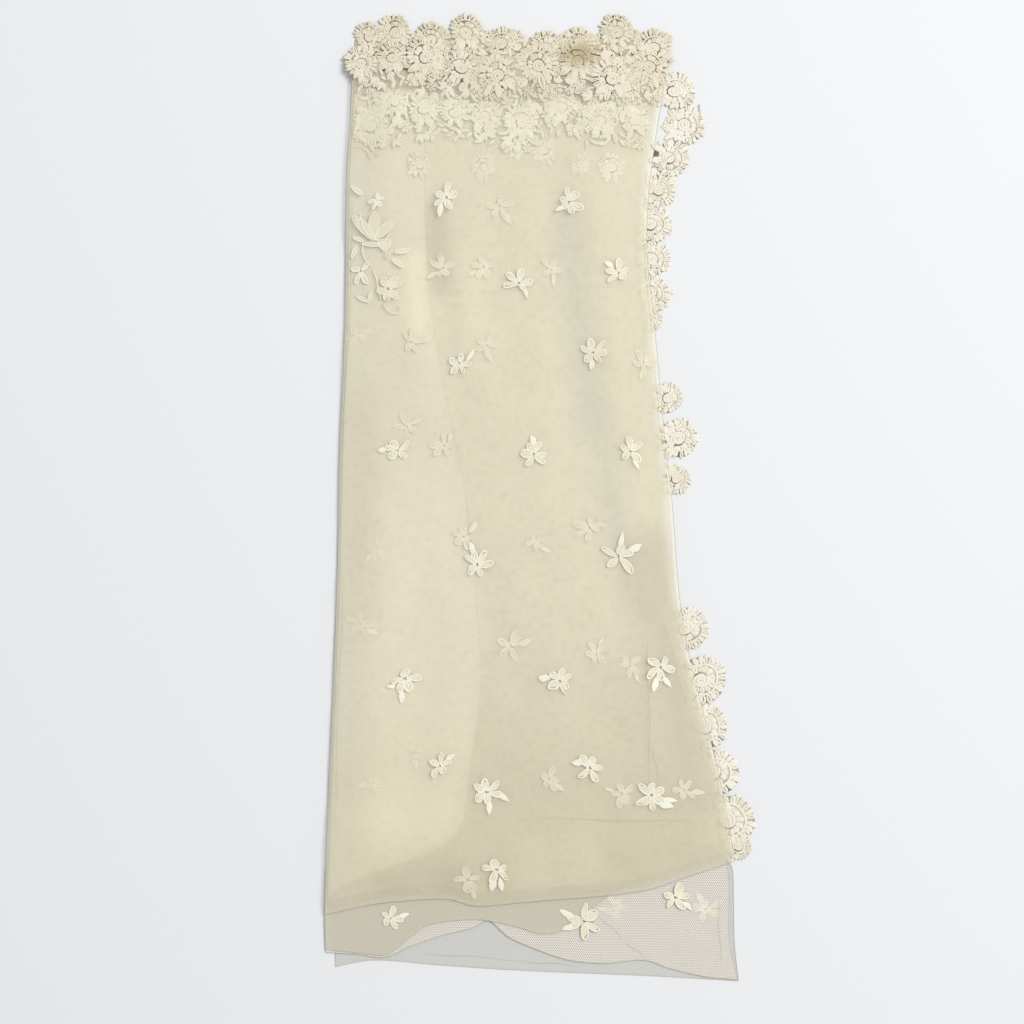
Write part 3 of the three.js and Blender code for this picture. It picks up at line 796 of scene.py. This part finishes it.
def rosette(rng, radius, inward, arc, style):
    """A lace rosette: a coil in two rings of petals, a cord between them, and leaves on its inner side."""
    work = Needlework()
    # A plate in the darker ground colour under the petals, painted shade between them
    work.add(plate(circle(style["plate"] * radius, RING_POINTS), 0.1, 0.4), GROUND_SHADE)
    leaves = int(rng.integers(2, 5))
    for k in range(leaves):
        degrees = inward + 30 * (k - (leaves - 1) / 2) + rng.uniform(-9, 9)
        length = radius * rng.uniform(0.6, 0.9)
        slit = rng.choice([0.2, 0.8])
        height = rng.uniform(0.7, 1.1)
        bend = rng.uniform(-2, 2)
        pad = padded(0.5 * radius, length, 0.36 * radius, height, 1.0, 0.7, slit, bend)
        work.add(with_turn(pad, degrees))
    add_petals(work, rng, radius, inward + 180, arc, style["fingers"])
    ring = turned(circle(RING_REACH * radius, RING_POINTS, rng.uniform(0.88, 1.0)), rng.uniform(0, 180))
    work.add(cord(raised(ring, 0.55), 0.08 * radius, 0.45, True))
    heading = math.radians(inward)
    shift = COIL_SHIFT * radius * np.array([math.cos(heading), math.sin(heading)])
    heart = Needlework()
    add_petals(heart, rng, radius, inward + 180, 360, INNER_PETALS)
    path = coil_path(rng, 0.05 * radius, COIL_REACH * radius, COIL_REACH / COIL_PITCH)
    # A plate in the darker ground colour under the coil, painted shade between its turns
    heart.add(plate(circle(COIL_REACH * radius, RING_POINTS), 0.5, 0.7), GROUND_SHADE)
    heart.add(cord(raised(path, 0.7), 0.76 * COIL_PITCH * radius, 0.7, False))
    work.add_work(heart, lambda points: points + np.array([*shift, 0.15]))
    return work


def small_flower(rng, radius):
    """A small flower of plain pads that fills the lace between rosettes."""
    work = Needlework()
    petals = int(rng.integers(5, 8))
    start = rng.uniform(0, 360)
    for k in range(petals):
        width = 0.85 * 1.3 * radius * math.tan(math.pi / petals)
        petal = padded(0.2 * radius, 0.8 * radius, width, rng.uniform(0.8, 1.3), 1.2, 0.65, 0.4, 0, 6)
        work.add(with_turn(petal, start + 360 * (k + rng.uniform(-0.1, 0.1)) / petals))
    work.add(cord(raised(circle(0.22 * radius, 10), 1.0), 0.2 * radius, 1.0, True))
    return work


def leaf_fan(rng, size, spread, leaves):
    """Leaves that open from one point along x."""
    work = Needlework()
    for k in range(leaves):
        degrees = spread * (k / (leaves - 1) - 0.5) * 2 + rng.uniform(-5, 5)
        length = size * (1 - 0.2 * abs(k / (leaves - 1) - 0.5) * 2) * rng.uniform(0.92, 1.08)
        leaf = padded(0, length, 0.4 * size, 1.2, 1.0, 0.8, 0.3, rng.uniform(-1, 1))
        work.add(with_turn(leaf, degrees))
    return work


def sprig(rng, across, petals, leaves, turn):
    """A sewn flower: pointed petals outlined with cord round an eye, with leaves behind."""
    work = Needlework()
    for direction in leaves:
        pad = padded(0.28 * across, 0.48 * across, 0.22 * across, 0.5, 0.9, 1.0, 0.15, rng.uniform(-2, 2))
        work.add(with_turn(pad, direction + rng.uniform(-6, 6)))
    for k in range(petals):
        degrees = turn + 360 * (k + rng.uniform(-0.2, 0.2)) / petals
        length = across * rng.uniform(0.34, 0.5)
        width = across * rng.uniform(0.2, 0.3)
        height = rng.uniform(0.4, 0.6)
        bend = rng.uniform(-1.5, 1.5)
        pad = padded(0.04 * across, length, width, height, 0.9, 1.1, 0.15, bend)
        # Each petal's pad lies inside its cord in the darker ground colour, painted shade in the hollow
        work.add(with_turn(pad, degrees), GROUND_SHADE)
        path = petal_path(0.07 * across, 0.04 * across + length, 0.42 * width)
        work.add(with_turn(cord(raised(path, 0.45), 1.5, 0.7, True), degrees))
        vein = np.array([(0.1 * across, 0.0), (0.2 * across, 0.3), (0.28 * across, 0.0)])
        work.add(with_turn(cord(raised(vein, 0.5), 1.0, 0.6, False), degrees))
    for k in range(4):
        degrees = turn + 90 * k + rng.uniform(-25, 25)
        eyelet = cord(raised(circle(0.05 * across, 8), 0.7), 1.0, 0.7, True)
        x = 0.1 * across * math.cos(math.radians(degrees))
        y = 0.1 * across * math.sin(math.radians(degrees))
        work.add(with_turn(eyelet, degrees, x, y))
    return work


def crumpled(points, amount):
    """Points of lace pulled about a little within its plane."""
    out = points.copy()
    for angle, length, phase in zip(WAVE_ANGLES, WAVE_LENGTHS, WAVE_PHASES):
        along = points[:, 0] * math.cos(angle) + points[:, 1] * math.sin(angle)
        pull = amount * np.sin(2 * math.pi * along / (CRUMPLE_LENGTH * length) + phase)
        out[:, 0] += pull * math.cos(2 * angle)
        out[:, 1] += pull * math.sin(2 * angle)
    return out


def on_surface(surface, x, y, degrees=0.0, lift=0.0, tilt=(0.0, 0.0), crumple=0.0):
    """A way to lay local needlework on a surface."""

    def place(points):
        out = crumpled(turned(points, degrees, x, y), crumple)
        out[:, 2] += surface(out[:, 0], out[:, 1]) + lift
        out[:, 2] += tilt[0] * (out[:, 0] - x) + tilt[1] * (out[:, 1] - y)
        return out

    return place


# Materials


class Nodes:
    """Short calls that add and join shader nodes."""

    def __init__(self, name):
        self.material = bpy.data.materials.new(name)
        self.material.use_nodes = True
        self.tree = self.material.node_tree
        self.shader = self.tree.nodes["Principled BSDF"]

    def add(self, kind, inputs=(), **settings):
        made = self.tree.nodes.new(kind)
        for key, value in settings.items():
            setattr(made, key, value)
        for key, value in dict(inputs).items():
            self.set(made.inputs[key], value)
        return made

    def set(self, socket, value):
        if isinstance(value, bpy.types.NodeSocket):
            self.tree.links.new(value, socket)
        else:
            socket.default_value = value

    def math(self, operation, *values):
        return self.add("ShaderNodeMath", dict(enumerate(values)), operation=operation).outputs[0]

    def vector(self, operation, *values):
        return self.add("ShaderNodeVectorMath", dict(enumerate(values)), operation=operation).outputs[0]

    def measure(self, operation, *values):
        made = self.add("ShaderNodeVectorMath", dict(enumerate(values)), operation=operation)
        return made.outputs["Value"]

    def scale(self, vector, factor):
        return self.add("ShaderNodeVectorMath", {0: vector, 3: factor}, operation="SCALE").outputs[0]

    def ramp(self, value, low, high, out_low=0.0, out_high=1.0):
        inputs = {
            "Value": value, "From Min": low, "From Max": high, "To Min": out_low, "To Max": out_high,
        }
        return self.add("ShaderNodeMapRange", inputs, interpolation_type="SMOOTHSTEP").outputs["Result"]

    def mix(self, share, first, second):
        made = self.add("ShaderNodeMix", {0: share, 6: first, 7: second}, data_type="RGBA")
        return made.outputs[2]

    def position(self):
        return self.add("ShaderNodeTexCoord").outputs["Object"]

    def noise(self, vector, scale, detail=2.0):
        inputs = {"Vector": vector, "Scale": scale, "Detail": detail}
        return self.add("ShaderNodeTexNoise", inputs).outputs["Fac"]


CREAM = (0.92, 0.88, 0.71, 1)
CREAM_DEEP = (0.86, 0.81, 0.63, 1)
CORE_CREAM = (0.80, 0.76, 0.615, 1)
CORE_DEEP = (0.75, 0.70, 0.55, 1)
CREAM_LOW = (0.77, 0.71, 0.545, 1)
MOTTLE = (0.72, 0.66, 0.49, 1)
# Colours that the bands paint: painted shade, painted light, and a greyer painted shade
PAINTED_SHADE_COLORS = {
    "shade": (0.62, 0.55, 0.41, 1),
    "light": (0.93, 0.89, 0.71, 1),
    "cool": (0.70, 0.68, 0.61, 1),
}
SHEER = (0.93, 0.87, 0.78, 1)
# Greyer colour of the lowest net: painted shade of a thin single layer's threads
SHEER_SHADED_GREY = (0.66, 0.65, 0.60, 1)
SHEER_TAN = (0.70, 0.66, 0.53, 1)
IVORY = (0.87, 0.835, 0.73, 1)
IVORY_DEEP = (0.82, 0.78, 0.65, 1)
LACE_CREAM = (0.79, 0.735, 0.60, 1)
LACE_CREAM_DEEP = (0.73, 0.67, 0.52, 1)
# Darker ground and slit colours of the lace, here and below: painted shade between its motifs and in its
# grooves
LACE_GAP_SHADE = (0.56, 0.50, 0.36, 1)
LACE_SLIT_SHADE = (0.45, 0.37, 0.24, 1)
SIDE_GAP_SHADE = (0.72, 0.67, 0.54, 1)
SPRIG_CREAM = (0.90, 0.87, 0.74, 1)
SPRIG_DEEP = (0.84, 0.80, 0.65, 1)
SPRIG_GAP_SHADE = (0.78, 0.73, 0.57, 1)
SIDE_SLIT_SHADE = (0.58, 0.51, 0.37, 1)
STAIN = (0.46, 0.38, 0.22, 1)
# Darker colours of the nets' edge threads and crease strips: painted shade along edges and creases
EDGE_SHADE = (0.55, 0.52, 0.43, 1)
CREASE_SHADE = (0.55, 0.50, 0.37, 1)


def net_mask(nodes, vector, spacing, turn, threshold):
    """Threads of a net with six-sided holes: 1 on a thread, 0 in a hole."""
    wave_number = 4 * math.pi / (math.sqrt(3) * spacing * MM)
    total = None
    for angle in (turn, turn + 60, turn + 120):
        heading = math.radians(angle)
        direction = (wave_number * math.cos(heading), wave_number * math.sin(heading), 0)
        wave = nodes.math("COSINE", nodes.measure("DOT_PRODUCT", vector, direction))
        total = wave if total is None else nodes.math("ADD", total, wave)
    return nodes.ramp(total, threshold - 0.4, threshold + 0.4, 1.0, 0.0)


def wandering(nodes, vector, scale, reach):
    """Coordinates with a slight wander, so that threads don't run dead straight."""
    noise = nodes.add("ShaderNodeTexNoise", {"Vector": vector, "Scale": scale, "Detail": 1.0})
    wander = nodes.vector("SUBTRACT", noise.outputs["Color"], (0.5, 0.5, 0.5))
    return nodes.vector("ADD", vector, nodes.scale(wander, reach))


def cloth_shader(nodes, roughness):
    nodes.shader.inputs["Roughness"].default_value = roughness
    nodes.shader.inputs["Specular IOR Level"].default_value = 0.12


def net_material(name, upper, lower, change, spacing, turn, alphas, threshold,
                 sheer_end=None, painted_shade_bands=(), mottle=0.0):
    """Net whose colour turns from one to another between two heights y, perhaps sheerer at its end, with any
    bands of painted shade and painted light.
    """
    nodes = Nodes(name)
    vector = nodes.position()
    threads = net_mask(nodes, wandering(nodes, vector, 14, 0.004), spacing, turn, threshold)
    y = nodes.add("ShaderNodeSeparateXYZ", {0: vector}).outputs["Y"]
    patches = nodes.math("MULTIPLY", nodes.math("SUBTRACT", nodes.noise(vector, 9.0, 3.0), 0.5), 0.16)
    share = nodes.ramp(nodes.math("ADD", y, patches), change[0] * MM, change[1] * MM, 1.0, 0.0)
    color = nodes.mix(share, upper, lower)
    # Bands of painted shade and painted light along the folds and edges
    for row in painted_shade_bands:
        color = nodes.mix(band(nodes, vector, row), color, PAINTED_SHADE_COLORS[row["tone"]])
    if mottle:
        uneven = nodes.ramp(nodes.noise(vector, 150.0, 4.0), 0.42, 0.74, 0.0, mottle)
        color = nodes.mix(uneven, color, MOTTLE)
    nodes.set(nodes.shader.inputs["Base Color"], color)
    alpha = nodes.ramp(threads, 0, 1, *alphas)
    if sheer_end:
        sheer_low, sheer_high, sheer_share = sheer_end
        fade = nodes.ramp(y, sheer_low * MM, sheer_high * MM, 1.0, sheer_share)
        alpha = nodes.math("MULTIPLY", alpha, fade)
    nodes.set(nodes.shader.inputs["Alpha"], alpha)
    cloth_shader(nodes, 0.85)
    return nodes.material


def band(nodes, vector, row):
    """A soft band along a line: its share on the line, 0 beyond its half width."""
    start = (row["start"][0] * MM, row["start"][1] * MM, 0)
    run = (row["end"][0] * MM - start[0], row["end"][1] * MM - start[1], 0)
    offset = nodes.vector("MULTIPLY", nodes.vector("SUBTRACT", vector, start), (1, 1, 0))
    length_squared = run[0] ** 2 + run[1] ** 2
    along = nodes.math("DIVIDE", nodes.measure("DOT_PRODUCT", offset, run), length_squared)
    share = nodes.add("ShaderNodeClamp", {"Value": along}).outputs[0]
    distance = nodes.measure("DISTANCE", offset, nodes.scale(run, share))
    return nodes.ramp(distance, 0, row["half"] * MM, row["share"], 0.0)


def core_material():
    nodes = Nodes("net_layers")
    vector = nodes.position()
    y = nodes.add("ShaderNodeSeparateXYZ", {0: vector}).outputs["Y"]
    patches = nodes.ramp(nodes.noise(vector, 6.0, 3.0), 0.3, 0.75)
    body = nodes.mix(patches, CORE_CREAM, CORE_DEEP)
    low = nodes.ramp(y, -0.42, -0.2, 1.0, 0.0)
    color = nodes.mix(low, body, CREAM_LOW)
    mottle = nodes.ramp(nodes.noise(vector, 80.0, 4.0), 0.42, 0.72, 0.0, 0.3)
    color = nodes.mix(mottle, color, CORE_DEEP)
    # Bands of painted shade and painted light along the folds and edges
    for row in PAINTED_SHADE_BANDS:
        color = nodes.mix(band(nodes, vector, row), color, PAINTED_SHADE_COLORS[row["tone"]])
    nodes.set(nodes.shader.inputs["Base Color"], color)
    cloth_shader(nodes, 0.9)
    return nodes.material


def lace_material(name, light, deep):
    """Lace thread with soft patches, a fibre bump and the stains of the top borders."""
    nodes = Nodes(name)
    vector = nodes.position()
    patches = nodes.ramp(nodes.noise(vector, 24.0, 3.0), 0.35, 0.75)
    color = nodes.mix(patches, light, deep)
    ragged = nodes.math("MULTIPLY", nodes.noise(vector, 90.0), 0.014)
    for row in STAINS:
        offset = nodes.vector("SUBTRACT", vector, (row["x"] * MM, row["y"] * MM, 0.0))
        scaled = nodes.vector("MULTIPLY", offset, (1.0, 1.3, 0.0))
        edge = nodes.math("ADD", nodes.measure("LENGTH", scaled), ragged)
        stain = nodes.ramp(edge, row["inner"] * MM, row["outer"] * MM, row["share"], 0.0)
        color = nodes.mix(stain, color, STAIN)
    nodes.set(nodes.shader.inputs["Base Color"], color)
    fibres = nodes.noise(vector, 1800.0, 2.0)
    bump = nodes.add("ShaderNodeBump", {"Strength": 0.3, "Distance": 0.0003, "Height": fibres})
    nodes.set(nodes.shader.inputs["Normal"], bump.outputs["Normal"])
    cloth_shader(nodes, 0.8)
    return nodes.material


def plain_material(name, color, alpha=1.0):
    nodes = Nodes(name)
    nodes.shader.inputs["Base Color"].default_value = color
    nodes.shader.inputs["Alpha"].default_value = alpha
    cloth_shader(nodes, 0.9)
    return nodes.material


def lace_set(name, light, deep, gap_shade, slit):
    """Materials of a lace piece: its thread, its ground and the slits in its petals; the ground and slits
    are darker, painted shade between the motifs and in the grooves.
    """
    return [
        lace_material(f"{name}_thread", light, deep),
        lace_material(f"{name}_ground", gap_shade, gap_shade),
        plain_material(f"{name}_slit", slit),
    ]


# A darker thread round the sheets' edges and darker strips along their creases: painted shade
edge_and_crease_shades = [plain_material("net_edge_thread_shade", EDGE_SHADE), plain_material("net_crease_shade", CREASE_SHADE, 0.22)]
# The lowest layer is the same net in a greyer colour: painted shade of a single thin layer's threads
base_net = net_material("net_base_threads", SHEER_SHADED_GREY, SHEER_SHADED_GREY, (-400, 0), 1.9, 4, (0.2, 0.92), -0.5)
middle_net = net_material("net_middle_threads", SHEER, SHEER, (-400, 0), 1.9, 31, (0.32, 0.78), -0.5)
ply_net = net_material("net_ply_threads", SHEER_TAN, SHEER_TAN, (-400, 0), 2.4, 17, (0.62, 0.8), -0.4)
inner_net = net_material(
    "net_inner_threads", CREAM, CREAM_LOW, (-330, -60), 2.2, 12, (0.46, 0.56), -0.4,
    painted_shade_bands=PAINTED_SHADE_BANDS, mottle=0.25,
)
top_net = net_material(
    "net_top_threads", CREAM, CREAM_DEEP, (-400, -100), 2.2, 23, (0.40, 0.445), -0.5,
    sheer_end=(300, 345, 0.88), mottle=0.3,
)
core_net = core_material()
lace = lace_set("lace", LACE_CREAM, LACE_CREAM_DEEP, LACE_GAP_SHADE, LACE_SLIT_SHADE)
sprig_lace = lace_set("lace_sprig", SPRIG_CREAM, SPRIG_DEEP, SPRIG_GAP_SHADE, SIDE_SLIT_SHADE)
side_lace = lace_set("lace_side", IVORY, IVORY_DEEP, SIDE_GAP_SHADE, SIDE_SLIT_SHADE)


# Net layers


def take_place(piece, slot_name, *nodes):
    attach(piece, "root")
    if nodes:
        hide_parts(*nodes)
    return piece


base, base_area = net_sheet(
    "veil_net_base",
    (lambda y: left_edge(y) + BASE_LEFT_INSET, base_edge, level(NET_LOWER_END), base_fold),
    base_surface, base_net, BASE_STEPS, creases=BASE_CREASES,
)
take_place(base, "net", "net_base")
middle, middle_area = net_sheet(
    "veil_net_middle",
    (left_edge, side_seam, level(NET_LOWER_END), middle_fold),
    middle_surface, middle_net, MIDDLE_STEPS, creases=MIDDLE_CREASES,
)
take_place(middle, "net", "net_middle")
ply, ply_area = net_sheet(
    "veil_net_middle_ply",
    (left_edge, level(PLY_RIGHT), level(PLY_TOP), ply_edge),
    ply_surface, ply_net, PLY_STEPS, PLY_THREAD,
)
take_place(ply, "net")
core, core_area = layered_core(
    "veil_net_core",
    (lambda y: left_edge(y) + CORE_INSET["left"], lambda y: right_edge(y) - CORE_INSET["right"],
     level(NET_INNER_END - CORE_INSET["top"]), lambda x: top_fold(x) + CORE_INSET["bottom"]),
    core_net, CORE_LAYERS, CORE_LAYER_DEPTH,
)
take_place(core, "net", "net_core")
inner, inner_area = net_sheet(
    "veil_net_inner",
    (inner_fold, lambda y: right_edge(y) - INNER_INSET["right"], level(NET_INNER_END),
     lambda x: top_fold(x) + INNER_INSET["bottom"]),
    inner_surface, inner_net, INNER_STEPS, 0,
)
take_place(inner, "net", "net_inner")
top, top_area = net_sheet(
    "veil_net_top",
    (left_edge, right_edge, level(NET_TOP_REACH), top_fold),
    top_surface, top_net, TOP_STEPS, creases=CREASES,
)
take_place(top, "net", "net_top")


# Lace borders


def add_rosettes(work, rng, rows, surface, inward, style, lift, tilt):
    for row in rows:
        slope = (rng.uniform(-tilt, tilt), rng.uniform(-tilt, tilt))
        rise = lift + tilt * (0.4 + row["r"])
        place = on_surface(surface, row["x"], row["y"], 0, rise, slope, LACE_CRUMPLE)
        work.add_work(rosette(rng, row["r"], inward + rng.uniform(-18, 18), ROSETTE_ARC, style), place)


def add_ground(work, surface, lower, ends, upper, lift):
    """The net ground of a border, between two ends, from its lower edge up to one height y, in the darker
    ground colour that paints the shade between the motifs.
    """
    across = np.linspace(*ends, GROUND_COLUMNS)
    share = np.linspace(0, 1, GROUND_ROWS)[:, None]
    low = lower(across)
    y = low + share * (upper - low)
    x = np.maximum(np.broadcast_to(across, y.shape), left_edge(y) - GROUND_OVERHANG)
    points = np.stack([x, y, surface(x, y) + lift], axis=-1).reshape(-1, 3)
    work.add((points, grid_faces(x.shape)[:, ::-1].tolist()), GROUND_SHADE)


def below_rosettes(rows):
    """A wavy line through the lower parts of a row of rosettes."""
    x = [row["x"] for row in rows]
    y = [row["y"] - GROUND_SHARE * row["r"] for row in rows]
    return lambda across: np.interp(across, x, y)


def add_fill(work, rng, rows, surface, low, high, reach_out, tries, lift):
    """Small pads, flowers and leaves in a band where no rosette's middle lies."""
    taken = [(row["x"], row["y"], 0.62 * row["r"]) for row in rows]
    for _ in range(tries):
        x = rng.uniform(low[0], high[0])
        y = rng.uniform(low[1], high[1])
        near = min(math.hypot(x - row["x"], y - row["y"]) - row["r"] for row in rows)
        crowded = any(math.hypot(x - tx, y - ty) < reach + FILL_SPACE for tx, ty, reach in taken)
        if crowded or near > reach_out or x < left_edge(y) + 2 * FILL_SPACE:
            continue
        taken.append((x, y, FILL_SPACE))
        made = Needlework()
        kind = rng.random()
        if kind < 0.62:
            length = rng.uniform(7, 12)
            made.add(padded(-length / 2, length, rng.uniform(3, 4.4), rng.uniform(0.6, 1.0), 1.1, 0.6,
                            rng.choice([0.2, 0.9]), rng.uniform(-2, 2), 6))
        elif kind < 0.86:
            made = small_flower(rng, rng.uniform(5, 7.5))
        else:
            made = leaf_fan(rng, rng.uniform(9, 13), 38, 3)
        place = on_surface(surface, x, y, rng.uniform(0, 360), lift, crumple=LACE_CRUMPLE)
        work.add_work(made, place)


def border(name, node, rows, surface, inward, seed, materials, style, lift=0.3, tilt=0.03,
           fill=None, tries=0, ground=None, folds=()):
    rng = np.random.default_rng(seed)
    work = Needlework()
    if ground:
        add_ground(work, surface, *ground)
    if fill:
        add_fill(work, rng, rows, surface, *fill, tries, min(lift, 0.05))
    add_rosettes(work, rng, rows, surface, inward, style, lift, tilt)
    # Cords along the folds in the darker ground colour: painted shade in the folds
    for path in folds:
        line = raised(np.array(path), FOLD_LINE["height"])
        work.add(cord(line, FOLD_LINE["width"], FOLD_LINE["rise"], False), GROUND_SHADE)
    return take_place(work.object(name, materials), "lace", node)


FRONT_LACE_LIFT = -0.6
FOLD_LINE = {"height": 2.0, "width": 1.2, "rise": 1.2}
FILL_SPACE = 2.6
GROUND_COLUMNS = 120
GROUND_ROWS = 14
GROUND_SHARE = 0.75
BACK_GROUND_END = 418
GROUND_OVERHANG = 1
ROSETTE_ARC = 330


def table_level(x, y):
    return np.zeros(np.broadcast(x, y).shape)


lace_front = border(
    "veil_lace_front", "border_top_front", FRONT_ROSETTES, front_lace_underside, -90, 3, lace, FINGERED,
    lift=FRONT_LACE_LIFT, fill=((-186, 397), (120, 446), 14), tries=4200,
    ground=(below_rosettes(FRONT_ROSETTES), (-188, 116), 440, -0.2),
)
lace_back = border(
    "veil_lace_back", "border_top_back", BACK_ROSETTES, lace_underside, -90, 4, lace, FINGERED,
    fill=((-184, 424), (126, 462), 4), tries=1800,
    ground=(level(BACK_GROUND_END), (-186, 118), 458, 0.02),
)
lace_under = border(
    "veil_lace_under", "border_under", UNDER_ROSETTES, lace_underside, -90, 5, sprig_lace, FINGERED,
    lift=0.05, tilt=0.0, fill=((-186, 324), (104, 405), 12), tries=1800,
)
lace_upper = border(
    "veil_lace_side_upper", "border_side_upper", UPPER_SIDE_ROSETTES, table_level, 180, 6, side_lace, FANNED,
    fill=((106, 168), (150, 398), -2), tries=1200, folds=SIDE_FOLDS,
)
lace_middle = border(
    "veil_lace_side_middle", "border_side_middle", MIDDLE_SIDE_ROSETTES, table_level, 180, 7, side_lace,
    FANNED, fill=((122, 6), (136, 108), -2), tries=500,
)
lace_lower = border(
    "veil_lace_side_lower", "border_side_lower", LOWER_SIDE_ROSETTES, table_level, 180, 8, side_lace, FANNED,
)


# Sprigs and the corner spray

CARRIER_SURFACES = {"top": top_surface, "middle": ply_surface}
for number, row in enumerate(SPRIGS, start=1):
    rng = np.random.default_rng(100 + number)
    work = Needlework()
    made = sprig(rng, row["across"], row["petals"], row["leaves"], row["turn"])
    carrier = CARRIER_SURFACES[row["on"]]
    work.add_work(made, on_surface(carrier, row["x"], row["y"], 0, SPRIG_LIFT, crumple=SPRIG_CRUMPLE))
    piece = work.object(f"veil_sprig_{number:02d}", sprig_lace)
    take_place(piece, "lace", f"sprig_{number:02d}")

faint = Needlework()
rng = np.random.default_rng(55)
for x, y in zip(FAINT_SPRIGS["x"], FAINT_SPRIGS["y"]):
    made = sprig(rng, rng.uniform(23, 29), 5, [rng.uniform(0, 360)], rng.uniform(0, 72))
    faint.add_work(made, on_surface(lace_underside, x, y, 0, UNDER_SPRIG_LIFT, crumple=SPRIG_CRUMPLE))
for x, y in zip(LOW_SPRIGS["x"], LOW_SPRIGS["y"]):
    made = sprig(rng, rng.uniform(25, 29), 5, [rng.uniform(0, 360)], rng.uniform(0, 72))
    faint.add_work(made, on_surface(base_surface, x, y, 0, LOW_SPRIG_LIFT, crumple=SPRIG_CRUMPLE))
for row in DEEP_ROSETTES:
    made = rosette(rng, row["r"], -90, ROSETTE_ARC, FINGERED)
    place = on_surface(lace_underside, row["x"], row["y"], 0, DEEP_LIFT, crumple=LACE_CRUMPLE)
    faint.add_work(made, place)
faint_sprigs = take_place(faint.object("veil_under_flowers", sprig_lace), "lace")

spray = Needlework()
rng = np.random.default_rng(77)
on_spray = on_surface(top_surface, 0, 0, 0, SPRIG_LIFT)
for row in SPRAY_PADS:
    shape = padded(0, row["length"], row["width"], 0.6, row["shift"], 0.8, 0.15, row["bend"])
    # Pads in the darker ground colour inside their cords, painted shade in the hollows
    spray.add((on_spray(with_turn(shape, row["turn"], row["x"], row["y"])[0]), *shape[1:]), GROUND_SHADE)
    path = petal_path(0, row["length"], 0.44 * row["width"])
    path[:, 1] += row["bend"] * (path[:, 0] / row["length"]) ** 2
    outline = cord(raised(path, 0.45), 1.2, 0.7, True)
    spray.add((on_spray(with_turn(outline, row["turn"], row["x"], row["y"])[0]), *outline[1:]))
for path in SPRAY_STEMS:
    points, faces = cord(raised(np.array(path), 0.6), 1.3, 1.2, False)
    spray.add((on_spray(points), faces))
for row in SPRAY_FLOWERS:
    made = sprig(rng, row["across"], row["petals"], [], row["turn"])
    place = on_surface(top_surface, row["x"], row["y"], 0, SPRIG_LIFT, crumple=SPRIG_CRUMPLE)
    spray.add_work(made, place)
corner_spray = take_place(spray.object("veil_corner_spray", sprig_lace), "lace", "corner_spray")


# Table, light and camera

FLOOR_SIZE = 6.0
FLOOR_PAINT = (0.81, 0.82, 0.835, 1)
floor_mesh = bpy.data.meshes.new("table")
corner = FLOOR_SIZE / 2
floor_mesh.from_pydata(
    [(-corner, -corner, 0), (corner, -corner, 0), (corner, corner, 0), (-corner, corner, 0)],
    [],
    [(0, 1, 2, 3)],
)
floor = bpy.data.objects.new("table", floor_mesh)
bpy.context.scene.collection.objects.link(floor)
floor_nodes = Nodes("table_paint")
floor_nodes.shader.inputs["Base Color"].default_value = FLOOR_PAINT
floor_nodes.shader.inputs["Roughness"].default_value = 0.7
floor_nodes.shader.inputs["Specular IOR Level"].default_value = 0.1
floor_mesh.materials.append(floor_nodes.material)

PHOTO_SIZE_PX = 1024
PILE_CENTRE_PX = (541, 496)
PX_PER_MM = 1.0
CAMERA_HEIGHT = 2.4
FRAMED_HEIGHT = 0.006

camera_data = bpy.data.cameras.new("camera")
camera_data.sensor_width = 36
framed = PHOTO_SIZE_PX / PX_PER_MM * MM
camera_data.lens = camera_data.sensor_width * (CAMERA_HEIGHT - FRAMED_HEIGHT) / framed
camera = bpy.data.objects.new("camera", camera_data)
camera.location = (
    (PHOTO_SIZE_PX / 2 - PILE_CENTRE_PX[0]) / PX_PER_MM * MM,
    (PILE_CENTRE_PX[1] - PHOTO_SIZE_PX / 2) / PX_PER_MM * MM,
    CAMERA_HEIGHT,
)
bpy.context.scene.collection.objects.link(camera)
bpy.context.scene.camera = camera


def area_light(name, location, size, power, color):
    data = bpy.data.lights.new(name, "AREA")
    data.shape = "DISK"
    data.size = size
    data.energy = power
    data.color = color
    light = bpy.data.objects.new(name, data)
    light.location = location
    direction = -light.location
    light.rotation_euler = direction.to_track_quat("-Z", "Y").to_euler()
    bpy.context.scene.collection.objects.link(light)


area_light("key", (3.6, 2.2, 5.2), 2.8, 310, (1.0, 0.985, 0.96))
world = bpy.data.worlds.new("studio")
world.use_nodes = True
world.node_tree.nodes["Background"].inputs["Color"].default_value = (0.97, 0.985, 1.0, 1)
world.node_tree.nodes["Background"].inputs["Strength"].default_value = 0.55
bpy.context.scene.world = world
bpy.context.scene.view_settings.view_transform = "Standard"
bpy.context.scene.cycles.transparent_max_bounces = 24
